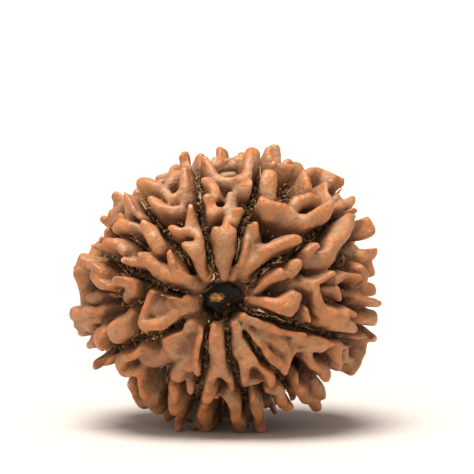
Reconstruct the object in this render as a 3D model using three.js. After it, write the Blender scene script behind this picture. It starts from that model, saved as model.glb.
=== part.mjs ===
// A rudraksha seed: the hard, deeply furrowed nut of a rudraksha tree, lying on its side with its mouth
// facing -Y. It is one grown solid: an oblate body, ten clefts from the mouth to the base, and knobbed ridges
// on its ten lobes. Units are millimetres, +Z is up, and the origin is on the surface that the seed rests on,
// below its middle.

import * as THREE from "three";

// Driving dimensions
const BODY = new THREE.Vector3(9.6, 8.2, 9.0); // semi-axes of the lobes' floor, which the ridges stand on
const CENTRE_HEIGHT = 10.7; // from the resting surface to the middle of the body
const FLOOR_DROP = 1.05; // how far the hollows between ridges lie below the laid-out floor
const CLEFT_DEPTH = { atMouth: 1.4, further: 0.8 }; // below the hollows
const CLEFT_IN_BODY = { atMouth: 0.22, further: 0.34, splay: 0.1 }; // half-widths, and growth for each mm up
const CLEFT_IN_RIDGES = { atMouth: 0.22, further: 0.26, splay: 0.01 }; // narrower, where ridges lean in
const CLEFT_WIDENS = { from: 0.22, to: 0.7 }; // radians from the axis
const RIDGE_FLARE = 0.14; // how much a ridge's half-width grows for each millimetre below its crest
const RIDGE_ROOT = 3.6; // how far below its crest a ridge is still felt
const RIDGE_ROOM = 0.8; // how far beyond its half-width
const RIDGE_BLEND = 0.2; // over this distance ridges melt into each other
const BODY_BLEND = 0.2; // over this distance clefts and pits are rounded into the body
const FUNNEL_DEPTH = 0.5; // of the shallow funnel round each end of the axis
const FUNNEL_ANGLE = 0.3; // its spread, in radians from the axis
const MOUTH_RADII = { x: 1.6, z: 1.3 };
const MOUTH_RAGGED = [[3, 0.1, 0.8], [5, 0.07, 2.4], [8, 0.05, 4]]; // waves of its rim: [count, share, phase]
const MOUTH_DEPTH = 2.9; // below the lobes' floor
const BASE_RADIUS = 0.9; // of the dimple at the far end of the axis
const BASE_DEPTH = 1.1;
const FOOT_PRESS = 0.52; // how far the resting knobs' crests would pass the surface if they weren't worn flat
const WOBBLE = 0.11; // how far the grown surface strays from the laid-out one
const VOXEL = 0.32; // spacing of the samples that the surface is traced through
const TRIANGLES = 11700; // of the finished surface
const ROOM = 3.2; // round the body, for the tallest ridges
const LAYERS_BELOW = 1.5; // layers of samples from the lowest one up to the resting surface
const EDGE_ROOM = 0.1; // share of an edge between samples that the surface keeps clear at each end
const SNAP = 0.001; // points this near to the resting surface lie on it
const EVENNESS = 0.002; // how strongly the triangles are kept alike in size
const TINY = 1e-12;
const FARTHEST = 2; // a drawn-together point lies within this many edge lengths of the edge's middle
const SLENDER = 0.12; // least of twice a triangle's area over its longest side squared
const MOST_TURN = 0.35; // cosine of the most that a triangle may turn as its neighbours are drawn together

// The near end is laid out as it is seen from a little above and from a little to the right of the axis.
const SEEN_FROM_RIGHT = THREE.MathUtils.degToRad(2.1);
const SEEN_FROM_ABOVE = THREE.MathUtils.degToRad(6);
const BODY_SEEN_AT = { x: 0.35, z: 1.0 }; // the body's middle, from the mouth's centre
const RIGHT = new THREE.Vector3(Math.cos(SEEN_FROM_RIGHT), Math.sin(SEEN_FROM_RIGHT), 0);
const INWARD = new THREE.Vector3(
  -Math.sin(SEEN_FROM_RIGHT) * Math.cos(SEEN_FROM_ABOVE),
  Math.cos(SEEN_FROM_RIGHT) * Math.cos(SEEN_FROM_ABOVE),
  -Math.sin(SEEN_FROM_ABOVE),
);
const UP = RIGHT.clone().cross(INWARD);

// Clefts, clockwise round the mouth from the top, each as [x, z] from the mouth's centre in that view
const CLEFTS = [
  [[-0.55, 1.7], [-0.8, 3], [-1, 4.4], [-1.3, 5.8], [-1.4, 7], [-1.6, 8], [-1.75, 9], [-1.8, 10]],
  [[0.9, 2.8], [1.2, 4], [1.5, 5.3], [2, 6.5], [2.3, 7.6], [2.8, 8.8], [3, 10], [3.15, 10.9]],
  [[2.2, 1.4], [3, 2.2], [4.2, 3], [5.4, 3.8], [6.2, 4.5], [7, 5.3], [7.8, 6], [8.4, 6.5], [9, 7.2]],
  [[1.9, -0.7], [3.2, -1.1], [5, -1.45], [6.2, -1.6], [7.2, -2.1], [8.4, -2.5], [9.6, -2.6], [10.8, -2.3]],
  [[1.7, -2.1], [2.4, -3.2], [3.2, -4.1], [4.1, -5.1], [4.8, -6.2], [5.4, -7], [5.8, -7.7]],
  [[0.3, -1.7], [0.6, -3], [1, -4.5], [1.4, -5.8], [1.7, -7], [1.9, -8.4]],
  [[-0.8, -1.8], [-0.95, -3], [-1.1, -4.6], [-1.3, -5.7], [-1.75, -6.8], [-1.95, -8]],
  [[-2.6, -1.4], [-3.8, -1.9], [-5.2, -2.5], [-6.3, -2.8], [-7.2, -3.3], [-8.2, -3.8], [-9.2, -4.1]],
  [[-2.6, 0.6], [-4, 1.2], [-5.6, 1.8], [-6.8, 2.3], [-7.8, 2.8], [-8.6, 3.3]],
  [[-1.95, 2.2], [-2.75, 3.5], [-3.55, 4.5], [-4.4, 5.5], [-5.1, 6.4], [-5.5, 7.4], [-5.7, 8.5]],
];

// Shallower furrows across lobes, laid out in the same way
const FURROWS = [
  [[1.8, 5.9], [3.2, 6.1], [4.2, 5.6], [5.6, 5.3], [7, 5]],
  [[-3.5, 4.8], [-3.2, 6.3], [-2.9, 6.9]],
  [[3.5, 0.9], [4.5, 0.6], [5.5, 0.9]],
];
const FURROW_DEPTH = 0.7;
const FURROW_HALF_WIDTH = 0.3;
const FURROW_REACH = 3.6; // how far above the floor a cleft or furrow is cut
const FURROW_ROOM = 1.2; // how far to its sides
const CLEFT_STEP = 0.12; // radians between the points of a cleft's line
const CLEFT_END = 0.16; // radians from the far end of the axis, where the clefts stop

// Ridges by lobe, each as [half-width at its start, at its end, ...crest], where a crest is a line of
// [x, z, height above the floor]
const LOBES = [
  // Top
  [
    [0.35, 1, [0.05, 1.9, 0.7], [0.1, 3.1, 1.3], [0.2, 4.3, 1.8], [0.2, 4.9, 2]],
    [0.5, 0.4, [0.1, 4.6, 2.1], [-0.55, 5.3, 2.2]],
    [0.5, 0.4, [0.3, 4.6, 2.1], [0.95, 5.3, 2.2]],
    [0.3, 0.25, [0.4, 5.5, 2.2], [0.75, 6.3, 1.8], [0.85, 7.2, 1.9], [0.75, 8.2, 1.8]],
    [0.5, 0.5, [1.2, 6.2, 1.8], [1.45, 7, 2.4]],
    [0.45, 0.4, [-0.8, 6.8, 2.1], [-0.1, 7.15, 2], [0.6, 7.3, 1.9]],
    [0.4, 0.35, [-0.75, 7.2, 2], [-0.9, 8, 2.3]],
    [0.4, 0.35, [-0.1, 7.8, 1.8], [-0.6, 8.7, 2.2], [-1.15, 9.5, 2.6]],
    [0.35, 0.5, [-1.4, 11, 2.5], [-0.9, 10.2, 2.2], [-0.3, 9.6, 2], [0.5, 9.3, 2]],
    [0.42, 0.5, [0.5, 9.3, 2], [1.3, 9.3, 2.1], [2, 9.7, 2.2], [2.3, 10.6, 2.4], [2.35, 11.4, 2.5]],
    [0.55, 0.5, [1.2, 8.6, 1.7], [2.1, 8.8, 1.9]],
    [0.3, 0.3, [0.2, 9.8, 1.6], [0.9, 9.95, 1.7]],
    [0.4, 0.4, [-0.3, 10.4, 1.6], [-0.2, 10.9, 1.9]],
    [0.5, 0.5, [1, 10.6, 1.6], [1.3, 11, 1.9]],
  ],
  // Upper right
  [
    [0.3, 0.4, [0.9, 1.9, 0.7], [1.35, 2.9, 1.3], [1.7, 3.9, 1.8], [1.95, 4.8, 2.1]],
    [0.55, 0.4, [2.4, 4.7, 1.8], [2.65, 5.3, 2.2], [2.65, 5.8, 2.5]],
    [0.4, 0.55, [1.8, 2.1, 0.9], [2.5, 3, 1.5], [3.5, 3.85, 1.9], [4.6, 4.5, 2.2], [5.6, 4.9, 2.4]],
    [0.75, 0.5, [2.1, 3.3, 1.3], [2.9, 4.2, 1.7]],
    [0.4, 0.42, [3.1, 7.8, 2.3], [3.7, 7.3, 2.2], [4.7, 7, 2.1], [5.3, 6.5, 2.1], [6.2, 6.2, 2.2]],
    [0.42, 0.43, [6.2, 6.2, 2.2], [7.1, 6.4, 2.3], [7.9, 6.8, 2.3], [8.4, 7.5, 2.3]],
    [0.43, 0.45, [8.4, 7.5, 2.3], [8.3, 8.3, 2.3], [8.3, 9, 2.5]],
    [0.5, 0.5, [3.6, 6.7, 1.6], [5, 6.3, 1.3], [6.5, 5.9, 1.3], [7.6, 6.2, 1.6]],
    [0.4, 0.4, [5.6, 7, 2], [6, 7.7, 2.2], [6.8, 8, 2.3], [7.3, 7.8, 2.1]],
    [0.55, 0.6, [3.75, 8.2, 1.8], [3.8, 9, 2.2], [3.8, 9.7, 2.5]],
    [0.4, 0.4, [3.8, 10.6, 2.3], [4.6, 10.3, 2.1], [5.6, 10.2, 2.1], [6.3, 9.9, 2.2], [6.5, 9.2, 2.2]],
    [0.4, 0.4, [6.5, 9.2, 2.2], [6.7, 8.8, 2.2]],
    [0.45, 0.4, [6.6, 10, 2], [7.4, 10.1, 2.2], [8.2, 9.7, 2.3], [9.3, 9.25, 2.6]],
    [0.35, 0.3, [8.8, 9.4, 2.2], [8.9, 8.7, 2.2]],
    [0.42, 0.42, [3.8, 11, 2], [3.85, 11.7, 2.5]],
    [0.42, 0.42, [4.25, 11, 2], [4.25, 11.9, 2.7]],
    [0.4, 0.38, [9.1, 7.1, 1.9], [9.7, 7.6, 2.1], [10.2, 8.1, 2.5]],
    [0.4, 0.4, [8.9, 8.1, 2], [9.3, 7.9, 2]],
  ],
  // Right
  [
    [0.35, 0.5, [2.6, 1.2, 0.9], [3.4, 1.6, 1.5], [4.1, 2, 2], [4.7, 2.25, 2.2]],
    [0.35, 0.33, [5.3, 2.3, 1.8], [5.85, 2.85, 2.2]],
    [0.4, 0.55, [2.3, 0.2, 0.9], [3.4, 0, 1.6], [4.5, -0.35, 2], [5.3, -0.5, 2.1], [5.8, -0.2, 2.1]],
    [0.35, 0.35, [4.8, 0.15, 1.8], [5.5, 0.4, 1.9], [6.1, 0.2, 1.9]],
    [0.25, 0.2, [6.45, -0.6, 1.7], [6.75, -1.35, 2.1]],
    [0.6, 0.5, [5.6, 1.4, 1.5], [6.5, 1.4, 1.6], [7.1, 0.9, 1.6]],
    [0.3, 0.28, [6.9, 1.5, 1.7], [7.8, 1.85, 1.9], [8.8, 2.5, 2.2]],
    [0.45, 0.5, [7.3, 0.2, 1.7], [7.8, -0.6, 2], [8.7, -1, 2.2], [9.5, -1.1, 2.3]],
    [0.5, 0.45, [7.9, -1.5, 1.9], [9, -1.7, 2.1], [10.4, -2, 2.3]],
    [0.25, 0.25, [9.8, -0.7, 2.1], [10.2, -1, 2.3]],
    [0.3, 0.3, [7.9, 0.8, 1.6], [8.7, 0.7, 1.7], [9.1, 0.3, 1.7]],
    [0.45, 0.45, [8.8, 1.6, 1.7], [9.6, 1.9, 1.9], [10.5, 1.7, 2]],
    [0.35, 0.35, [10.6, 2.6, 1.9], [11.1, 2.1, 2], [11, 1.4, 1.9]],
    [0.6, 0.45, [10.4, 0.3, 1.7], [11.2, 0.3, 2.1], [12.2, -0.1, 2.5]],
    [0.45, 0.4, [10.8, -1.35, 1.8], [12.1, -1.4, 2.4]],
    [0.45, 0.35, [6.6, 3.7, 1.8], [7.3, 4.2, 2.2]],
    [0.45, 0.5, [6.7, 3.2, 1.4], [7.6, 3.2, 1.6], [8.3, 3.4, 1.8]],
    [0.65, 0.8, [8.45, 3.3, 1.9], [8.95, 4.5, 2.1], [9.45, 5.5, 2.2], [10.1, 6.5, 2.2]],
    [0.4, 0.42, [10.4, 6.8, 2.3], [11, 6.3, 2.3], [11.6, 5.4, 2.4], [12, 4.5, 2.5]],
    [0.42, 0.45, [12, 4.5, 2.5], [11.8, 3.7, 2.3], [11, 3.4, 2]],
    [0.33, 0.33, [9.4, 3, 1.9], [9.85, 3.1, 2.2]],
    [0.45, 0.45, [11.5, 2.9, 1.9], [11.8, 2.3, 2.1]],
    [0.8, 0.8, [9.8, 3.9, 1.2], [11, 3.9, 1.5]],
    [0.8, 0.8, [9.8, 0.9, 1.1], [11.2, 0.9, 1.5]],
    [0.7, 0.7, [10.2, 5.4, 1.3], [11.1, 5.2, 1.6]],
  ],
  // Lower right
  [
    [0.35, 0.4, [1.6, -1.2, 0.8], [2.9, -1.6, 1.4], [4.4, -1.95, 1.8], [5.6, -2.1, 2.1], [6.5, -2.35, 2.4]],
    [0.3, 0.4, [1.8, -1.9, 0.8], [2.9, -3.3, 1.5], [3.9, -4.5, 1.8], [4.8, -5.4, 2.1]],
    [0.7, 0.6, [3.2, -2.4, 1.2], [4.4, -3, 1.5], [4.8, -3.7, 1.6]],
    [0.25, 0.3, [5, -5, 1.9], [5.2, -4.3, 1.9], [5.8, -3.75, 1.9], [6.8, -3.8, 1.9]],
    [0.4, 0.6, [5.6, -2.9, 1.6], [6.6, -2.9, 1.9], [7.5, -3.1, 2.1], [8.5, -3.2, 2.3]],
    [0.5, 0.5, [6.9, -3.6, 1.9], [8, -3.7, 2]],
    [0.3, 0.25, [8.95, -3.2, 2], [8.9, -4, 2.1], [9.1, -4.8, 2.3]],
    [0.45, 0.4, [6.7, -4.3, 1.6], [7.2, -5, 1.8], [8.2, -5.75, 2.2]],
    [0.45, 0.45, [5.9, -5.8, 1.6], [6.2, -6.9, 1.9], [6.8, -7.7, 2.1], [7.5, -8.2, 2.5]],
    [0.35, 0.4, [6.8, -5.8, 1.4], [7.4, -6.7, 1.8], [7.8, -7.4, 2.2]],
    [0.55, 0.65, [4.4, -6.7, 1.5], [4.85, -7.5, 1.9], [5.3, -8.2, 2.2]],
    [0.45, 0.45, [9.4, -3.4, 1.8], [10.3, -3.2, 2], [11.1, -2.8, 2.2]],
    [0.3, 0.25, [11.2, -2.7, 2.1], [12, -2.9, 2.5]],
    [0.4, 0.4, [11.2, -3.2, 2.1], [11, -4.1, 2.1], [10.6, -5.2, 2.2], [10.3, -5.6, 2.4]],
    [0.5, 0.5, [9.6, -4, 1.6], [9.9, -5, 1.8], [10.2, -5.5, 2.1]],
    [0.5, 0.5, [8.6, -4.9, 1.5], [9.3, -5.3, 1.8]],
  ],
  // Narrow lobe right of the bottom
  [
    [0.35, 1.15, [0.95, -1.8, 0.8], [1.45, -2.9, 1.2], [1.95, -3.9, 1.5], [2.4, -4.6, 1.7]],
    [0.45, 0.35, [1.9, -4.7, 1.8], [1.8, -5.6, 1.9], [1.95, -6.3, 1.8]],
    [0.55, 0.45, [3, -4.6, 1.8], [3.5, -5.4, 1.9], [3.8, -6.2, 1.9]],
    [0.3, 0.3, [2, -6.3, 1.6], [2.5, -6.1, 1.6], [2.9, -6.3, 1.5]],
    [0.3, 0.3, [2.35, -7.4, 1.8], [2.7, -6.9, 1.8], [3.3, -6.8, 1.7], [4, -7, 1.6]],
    [0.45, 0.5, [2.6, -7.8, 1.8], [2.6, -8.6, 2], [2.7, -9.3, 2.2]],
  ],
  // Bottom
  [
    [0.35, 1.05, [-0.3, -1.9, 0.8], [-0.2, -3, 1.2], [-0.1, -4.2, 1.5], [0, -5.1, 1.7]],
    [0.5, 0.4, [-0.4, -5.3, 1.8], [-0.75, -6.1, 1.9], [-0.85, -6.8, 1.8]],
    [0.5, 0.4, [0.4, -5.3, 1.8], [0.8, -6, 1.9], [1, -6.8, 1.8]],
    [0.35, 0.4, [-0.7, -6.9, 1.7], [-1.15, -7.8, 2.2]],
    [0.5, 0.5, [0.6, -7.4, 1.7], [1, -8.3, 2.1], [1.4, -9.8, 2.3]],
    [0.45, 0.45, [-1.2, -8.2, 1.7], [-1.25, -9.5, 2.1]],
    [0.4, 0.4, [-0.4, -7.4, 1.4], [0.3, -7.6, 1.4]],
  ],
  // Lower left
  [
    [0.35, 0.4, [-1.9, -1.9, 0.8], [-2.4, -1.85, 1.2], [-3.3, -2.3, 1.6], [-4.4, -2.8, 1.9]],
    [0.6, 0.6, [-3, -2.9, 1.3], [-4, -3.3, 1.5]],
    [0.35, 0.5, [-1.4, -2.2, 0.8], [-1.6, -3, 1.3], [-1.7, -4.2, 1.7], [-1.65, -5.3, 2]],
    [0.9, 0.9, [-3, -4.2, 1.2], [-4.6, -4.2, 1.3], [-5.8, -4.6, 1.4]],
    [0.4, 0.45, [-5.6, -3.7, 1.5], [-6.5, -3.6, 1.9], [-7.3, -4.15, 2.2], [-8.1, -4.75, 2.4]],
    [0.4, 0.4, [-8, -5, 2.1], [-7.6, -5.55, 2], [-7, -5.3, 1.8]],
    [0.25, 0.35, [-6.5, -5.3, 1.8], [-6.35, -6.4, 1.9], [-5.95, -7.3, 2], [-5.5, -8.2, 2.1]],
    [0.45, 0.45, [-6.9, -6.2, 1.5], [-6.6, -7.4, 1.7], [-6.1, -8.4, 1.9]],
    [0.45, 0.5, [-3.8, -6.9, 1.6], [-3.75, -7.8, 2], [-3.5, -8.5, 2.2]],
    [0.35, 0.35, [-2.5, -6.2, 1.6], [-2.4, -6.9, 2]],
    [0.55, 0.55, [-5.2, -7.6, 1.7], [-5.1, -8.6, 2]],
    [0.5, 0.5, [-5.9, -6.9, 1.5], [-5.6, -8, 1.8]],
    [0.4, 0.45, [-3.1, -8.9, 1.9], [-3, -9.8, 2.3]],
    [0.45, 0.45, [-4.4, -8.8, 1.6], [-4.3, -9.3, 1.9]],
    [0.4, 0.35, [-8.7, -4.6, 1.7], [-9.8, -5.1, 2.4]],
    [0.5, 0.5, [-3, -5.2, 1.4], [-3.5, -5.9, 1.5]],
    [0.5, 0.65, [-2.2, -2.6, 0.9], [-2.4, -3.9, 1.2], [-2.6, -5.1, 1.5]],
  ],
  // Wide fan on the left
  [
    [0.3, 0.3, [-2.1, 0.1, 0.8], [-3.3, 0.4, 1.5], [-4.3, 0.8, 1.9], [-5, 1.1, 2.1]],
    [0.35, 0.4, [-2.2, -0.6, 0.8], [-3.6, -1.05, 1.5], [-4.8, -1.65, 1.9], [-6, -2.05, 2.1]],
    [0.5, 1.1, [-2.6, -0.25, 0.8], [-3.4, -0.3, 1.05], [-4.3, -0.4, 1.3], [-5, -0.5, 1.45]],
    [0.3, 0.3, [-5.2, 0.9, 1.9], [-5.75, -0.4, 1.7], [-6.15, -1.8, 1.9]],
    [0.45, 0.5, [-7.3, 0.2, 1.3], [-7, 1.1, 1.8], [-7.3, 1.6, 2.2], [-8, 1.65, 2.4]],
    [0.4, 0.45, [-6.9, -0.9, 1.5], [-7.9, -1.6, 2.1], [-8.6, -2.15, 2.3], [-8.2, -2.9, 2.2]],
    [0.5, 0.5, [-7.4, -1.6, 1.8], [-7.7, -2.6, 2]],
    [0.35, 0.35, [-9.1, -2.3, 2], [-9.55, -2.7, 2.1], [-9.5, -3.6, 2]],
    [0.45, 0.45, [-10.8, 3.4, 2.2], [-11.1, 2.3, 2.2], [-11, 1, 1.9], [-10.7, 0, 1.7]],
    [0.4, 0.35, [-10.4, 3, 2.1], [-9.6, 2.7, 2], [-9, 2.2, 1.8]],
    [0.3, 0.3, [-9.7, 2, 1.8], [-9.1, 1.4, 1.8], [-8.6, 1.1, 1.7]],
    [0.45, 0.45, [-9.4, 0.4, 1.3], [-10.3, 0.3, 1.6]],
    [0.35, 0.45, [-9.2, -0.8, 1.6], [-10.4, -0.9, 2], [-11.5, -1.1, 2.5]],
    [0.3, 0.35, [-9.4, -1.6, 1.7], [-10.5, -1.75, 2], [-11.2, -1.8, 2.3]],
    [0.3, 0.35, [-10, -2.2, 1.8], [-11, -2.5, 2.2]],
    [0.4, 0.35, [-9.9, -3, 1.7], [-10.2, -3.7, 2]],
  ],
  // Upper left
  [
    [0.35, 0.6, [-1.9, 1.2, 0.7], [-2.6, 2, 1.4], [-3.1, 2.6, 1.8]],
    [0.6, 0.35, [-3.1, 2.6, 1.8], [-3.5, 3.1, 2.1], [-3.85, 3.6, 2.3]],
    [0.35, 0.4, [-2.4, 1.4, 1], [-3.3, 1.9, 1.5], [-4.4, 2.25, 1.8], [-5.2, 2.6, 2]],
    [0.4, 0.28, [-5.3, 2.6, 2], [-5.7, 3.1, 2.2], [-5.95, 3.6, 2.4]],
    [0.35, 0.3, [-6, 3, 2], [-6.7, 3.2, 2.1], [-7.3, 3.4, 2.3]],
    [0.65, 0.28, [-4.85, 4.3, 1.9], [-5.1, 5, 2.2], [-5.5, 5.5, 2.3], [-5.9, 5.9, 2.4]],
    [0.45, 0.5, [-7.4, 4, 1.7], [-8.2, 4.5, 2.1], [-8.9, 4.5, 2.2]],
    [0.35, 0.2, [-9.2, 4.35, 2], [-9.95, 4.45, 2.5]],
    [0.3, 0.2, [-9.2, 5, 1.8], [-9.05, 5.6, 2.1]],
    [0.4, 0.3, [-6.2, 6.7, 1.8], [-6.6, 7.3, 2.2], [-7, 7.9, 2.5]],
    [0.4, 0.35, [-7.1, 6.8, 1.6], [-7.2, 8.4, 2.5]],
    [0.4, 0.45, [-6.2, 5.3, 1.3], [-7, 5.7, 1.8], [-7.9, 6.1, 2], [-8.25, 5.8, 2]],
    [0.4, 0.4, [-5.6, 7, 1.6], [-6.2, 7.3, 1.7]],
  ],
  // Left of the top
  [
    [0.3, 0.75, [-1.15, 1.8, 0.7], [-1.5, 3, 1.4], [-1.95, 4.1, 1.9]],
    [0.5, 0.35, [-2, 3.8, 1.8], [-2.65, 4.2, 1.9]],
    [0.5, 0.35, [-1.7, 4.3, 1.9], [-1.5, 4.9, 2.1], [-2, 5.4, 2.1], [-2.5, 5.7, 2.1]],
    [0.7, 0.3, [-2.3, 5.7, 1.8], [-2.25, 6.4, 2.2], [-2.3, 7.1, 2.6]],
    [0.35, 0.35, [-2.5, 5.7, 2], [-3.2, 5.5, 2.1], [-3.9, 5.75, 2.3]],
    [0.6, 0.42, [-2.6, 7.9, 1.8], [-2.6, 8.8, 2.2], [-2.75, 9.9, 2.7]],
    [0.4, 0.5, [-2.8, 8.5, 2], [-3.8, 8, 2], [-4.3, 8.5, 2.1], [-4.8, 8.8, 2.3], [-6, 9.15, 2.6]],
    [0.45, 0.4, [-3, 7.1, 1.8], [-4, 7, 2], [-4.7, 7.25, 2.2], [-5.3, 7.85, 2.6]],
    [0.3, 0.3, [-5.2, 7.6, 2.2], [-4.9, 6.8, 1.8]],
    [0.6, 0.6, [-2.75, 10.6, 1.9], [-2.85, 11.3, 2.5]],
    [0.6, 0.6, [-3.7, 9.9, 1.8], [-3.9, 9.3, 1.8]],
  ],
];

// Pits in the hollows between ridges, each as [x, z, radius]
const PITS = [
  [-7.4, 4.9, 0.55], [0.1, 6.4, 0.35], [0.3, -6.6, 0.45],
  [2.4, -5.5, 0.45], [5.6, -4.7, 0.55], [7.4, 2.4, 0.4],
  [8, 2.65, 0.35], [8.3, 1.25, 0.45], [8.5, -0.05, 0.4], [9.6, 0.6, 0.5], [5, 8.6, 0.5],
  [10.3, 4.1, 0.6], [7, 7.1, 0.4],
];
const PIT_DEPTH = 1.7; // below the laid-out floor

// Each lobe carries on to the far end with the ridges of another lobe of about its own width, mirrored.
const FAR_LOBES = [5, 6, 3, 7, 9, 8, 2, 1, 0, 4];
const FAR_FROM = THREE.MathUtils.degToRad(80); // ridges further than this from the mouth aren't mirrored
const FAR_SLIP = 0.08; // spread, in radians, of how far a mirrored ridge is moved away from the mouth
const FAR_SWELL = 0.3; // spread of how much wider or narrower it is
const DRIFT = 0.14; // how far, in radians, clefts swerve from the laid-out lines as they pass the girth
const DRIFT_FROM = THREE.MathUtils.degToRad(74); // from the mouth
const DRIFT_WAVES = 3;

// Knobs that fill what is left bare
const KNOB_TRIALS = 3000;
const KNOB_BAND = { near: 0.35, far: -0.93 }; // cosines of the angles from the mouth between which they grow
const KNOB_ROOM = 1.35; // from the nearest crest
const KNOB_CLEFT_ROOM = 0.95; // from the nearest cleft
const KNOB_LENGTH = { least: 0.5, most: 1.6 };
const KNOB_HALF_WIDTH = { least: 0.33, most: 0.5 };
const KNOB_HEIGHT = { least: 1.7, most: 2.3 };

// Knobs that the seed rests on, as [x, y]
const FEET = [[-3.2, -2.9], [-1.5, -2.8], [1.1, -3.2], [2.7, -2.9], [-3, 2.6], [-1.2, 3.4], [1.4, 3]];
const FOOT_HALF_WIDTH = 0.6;
const FOOT_LEAN = 0.85; // a resting knob's crest starts at this share of the way out

// Slow waves that bend the surface, each as [wave vector in radians per millimetre, phase]
const WAVES = [
  [[0.7, 1.1, 0.5], 0.3],
  [[1.9, -0.6, 1.3], 1.9],
  [[-0.8, 0.9, 1.6], 4.1],
  [[2.3, 1.7, -1.2], 2.6],
  [[-1.4, 2.4, 0.9], 5.2],
  [[1.1, -1.8, 2.5], 0.9],
];

const { abs, acos, atan2, cos, exp, hypot, max, min, PI, sin, sqrt } = Math;
const clamp = (value, low, high) => min(max(value, low), high);
const mix = (from, to, share) => from + (to - from) * share;

// Repeatable draws between 0 and 1
const DRAW_MODULUS = 2147483647;
const DRAW_FACTOR = 16807;
let draw = 20117;
function random() {
  draw = (draw * DRAW_FACTOR) % DRAW_MODULUS;
  return draw / DRAW_MODULUS;
}
const between = (range) => mix(range.least, range.most, random());

// Radius of the lobes' floor in a direction from the body's middle
function floorRadius(direction) {
  const radius = 1 / hypot(direction.x / BODY.x, direction.y / BODY.y, direction.z / BODY.z);
  const fromAxis = acos(min(abs(direction.y), 1));
  return radius - FLOOR_DROP - FUNNEL_DEPTH * exp(-((fromAxis / FUNNEL_ANGLE) ** 2));
}

// The point, from the body's middle, that the view shows at (x, z) on a body grown by a height all round
function seenAt(x, z, height) {
  const point = RIGHT.clone().multiplyScalar(x - BODY_SEEN_AT.x).addScaledVector(UP, z - BODY_SEEN_AT.z);
  const semi = BODY.clone().addScalar(height);
  const start = point.clone().divide(semi);
  const step = INWARD.clone().divide(semi);
  const a = step.lengthSq();
  const b = start.dot(step);
  const c = start.lengthSq() - 1;
  const inside = b * b - a * c;
  return inside > 0 ? point.addScaledVector(INWARD, (-b - sqrt(inside)) / a) : point;
}

// Directions as angles: away from the mouth, and round the axis
const polar = (point) => {
  const unit = point.clone().normalize();
  return { away: acos(clamp(-unit.y, -1, 1)), round: atan2(unit.z, unit.x) };
};
const toward = (away, round) => new THREE.Vector3(sin(away) * cos(round), -cos(away), sin(away) * sin(round));

// Where each cleft lies round the axis at an angle away from the mouth; the far half follows the near half
const cleftLines = CLEFTS.map((line) => {
  const angles = line.map(([x, z]) => polar(seenAt(x, z, 0)));
  for (let i = 1; i < angles.length; i += 1) {
    const turn = angles[i].round - angles[i - 1].round;
    angles[i].round -= 2 * PI * Math.round(turn / (2 * PI));
  }
  return angles;
});
function cleftRound(index, away) {
  const line = cleftLines[index];
  const near = away > PI / 2 ? PI - away : away;
  let i = 0;
  while (i < line.length - 2 && line[i + 1].away < near) i += 1;
  const share = clamp((near - line[i].away) / (line[i + 1].away - line[i].away), 0, 1);
  const swerve = DRIFT * sin(DRIFT_WAVES * max(away - DRIFT_FROM, 0)) * (index % 2 ? 1 : -1);
  return mix(line[i].round, line[i + 1].round, share) + swerve;
}

// A lobe runs clockwise, so that its second cleft lies at a smaller angle round the axis than its first.
function acrossLobe(lobe, away, share) {
  const first = cleftRound(lobe, away);
  const second = cleftRound((lobe + 1) % CLEFTS.length, away);
  const width = (((first - second) % (2 * PI)) + 2 * PI) % (2 * PI);
  return { round: first - width * share, width, first };
}

// Crests of all the ridges, as points from the body's middle with half-widths
const crests = [];
LOBES.forEach((ridges) => {
  ridges.forEach(([start, end, ...line]) => {
    const points = line.map(([x, z, height]) => seenAt(x, z, height));
    crests.push({ start, end, points });
  });
});
LOBES.forEach((_, lobe) => {
  const source = FAR_LOBES[lobe];
  LOBES[source].forEach(([start, end, ...line]) => {
    const slip = FAR_SLIP * (random() - 0.5);
    const swell = 1 + FAR_SWELL * (random() - 0.5);
    const found = line.map(([x, z, height]) => ({ ...polar(seenAt(x, z, height)), height }));
    if (found.some(({ away }) => away > FAR_FROM)) return;
    const points = found.map(({ away, round, height }) => {
      const { first, width } = acrossLobe(source, away, 0);
      const behind = (((first - round) % (2 * PI)) + 2 * PI) % (2 * PI);
      const share = (behind > PI ? behind - 2 * PI : behind) / width;
      const farAway = PI - away + slip;
      const direction = toward(farAway, acrossLobe(lobe, farAway, share).round);
      const semi = BODY.clone().addScalar(height);
      return direction.multiplyScalar(1 / direction.clone().divide(semi).length());
    });
    crests.push({ start: start * swell, end: end * swell, points });
  });
});

// Bare ground gets knobs of its own, where a drawn spot has room.
const spots = [];
crests.forEach(({ points }) => {
  points.forEach((point, i) => {
    const next = points[min(i + 1, points.length - 1)];
    [0, 1 / 3, 2 / 3].forEach((share) => spots.push(point.clone().lerp(next, share)));
  });
});
const cleftPaths = CLEFTS.map((_, index) => {
  const path = [];
  for (let away = cleftLines[index][0].away; away < PI - CLEFT_END; away += CLEFT_STEP) {
    path.push(toward(away, cleftRound(index, away)));
  }
  return path;
});
const unitOf = (point) => point.clone().normalize();
const gap = (direction, radius, places) =>
  places.reduce((least, place) => min(least, unitOf(place).distanceTo(direction) * radius), Infinity);
const cleftSpots = cleftPaths.flat();
for (let i = 0; i < KNOB_TRIALS; i += 1) {
  const away = acos(mix(KNOB_BAND.near, KNOB_BAND.far, random()));
  const round = 2 * PI * random();
  const heading = 2 * PI * random();
  const length = between(KNOB_LENGTH);
  const halfWidth = between(KNOB_HALF_WIDTH);
  const height = between(KNOB_HEIGHT);
  const direction = toward(away, round);
  const radius = floorRadius(direction);
  const clear = gap(direction, radius, spots) > KNOB_ROOM;
  if (clear && gap(direction, radius, cleftSpots) > KNOB_CLEFT_ROOM) {
    const turn = (length / radius) * 0.5;
    const ends = [-turn, turn].map((part) => {
      const end = toward(away + part * cos(heading), round + (part * sin(heading)) / sin(away));
      return end.multiplyScalar(floorRadius(end) + height);
    });
    crests.push({ start: halfWidth, end: halfWidth, points: ends });
    spots.push(...ends);
  }
}
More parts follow.
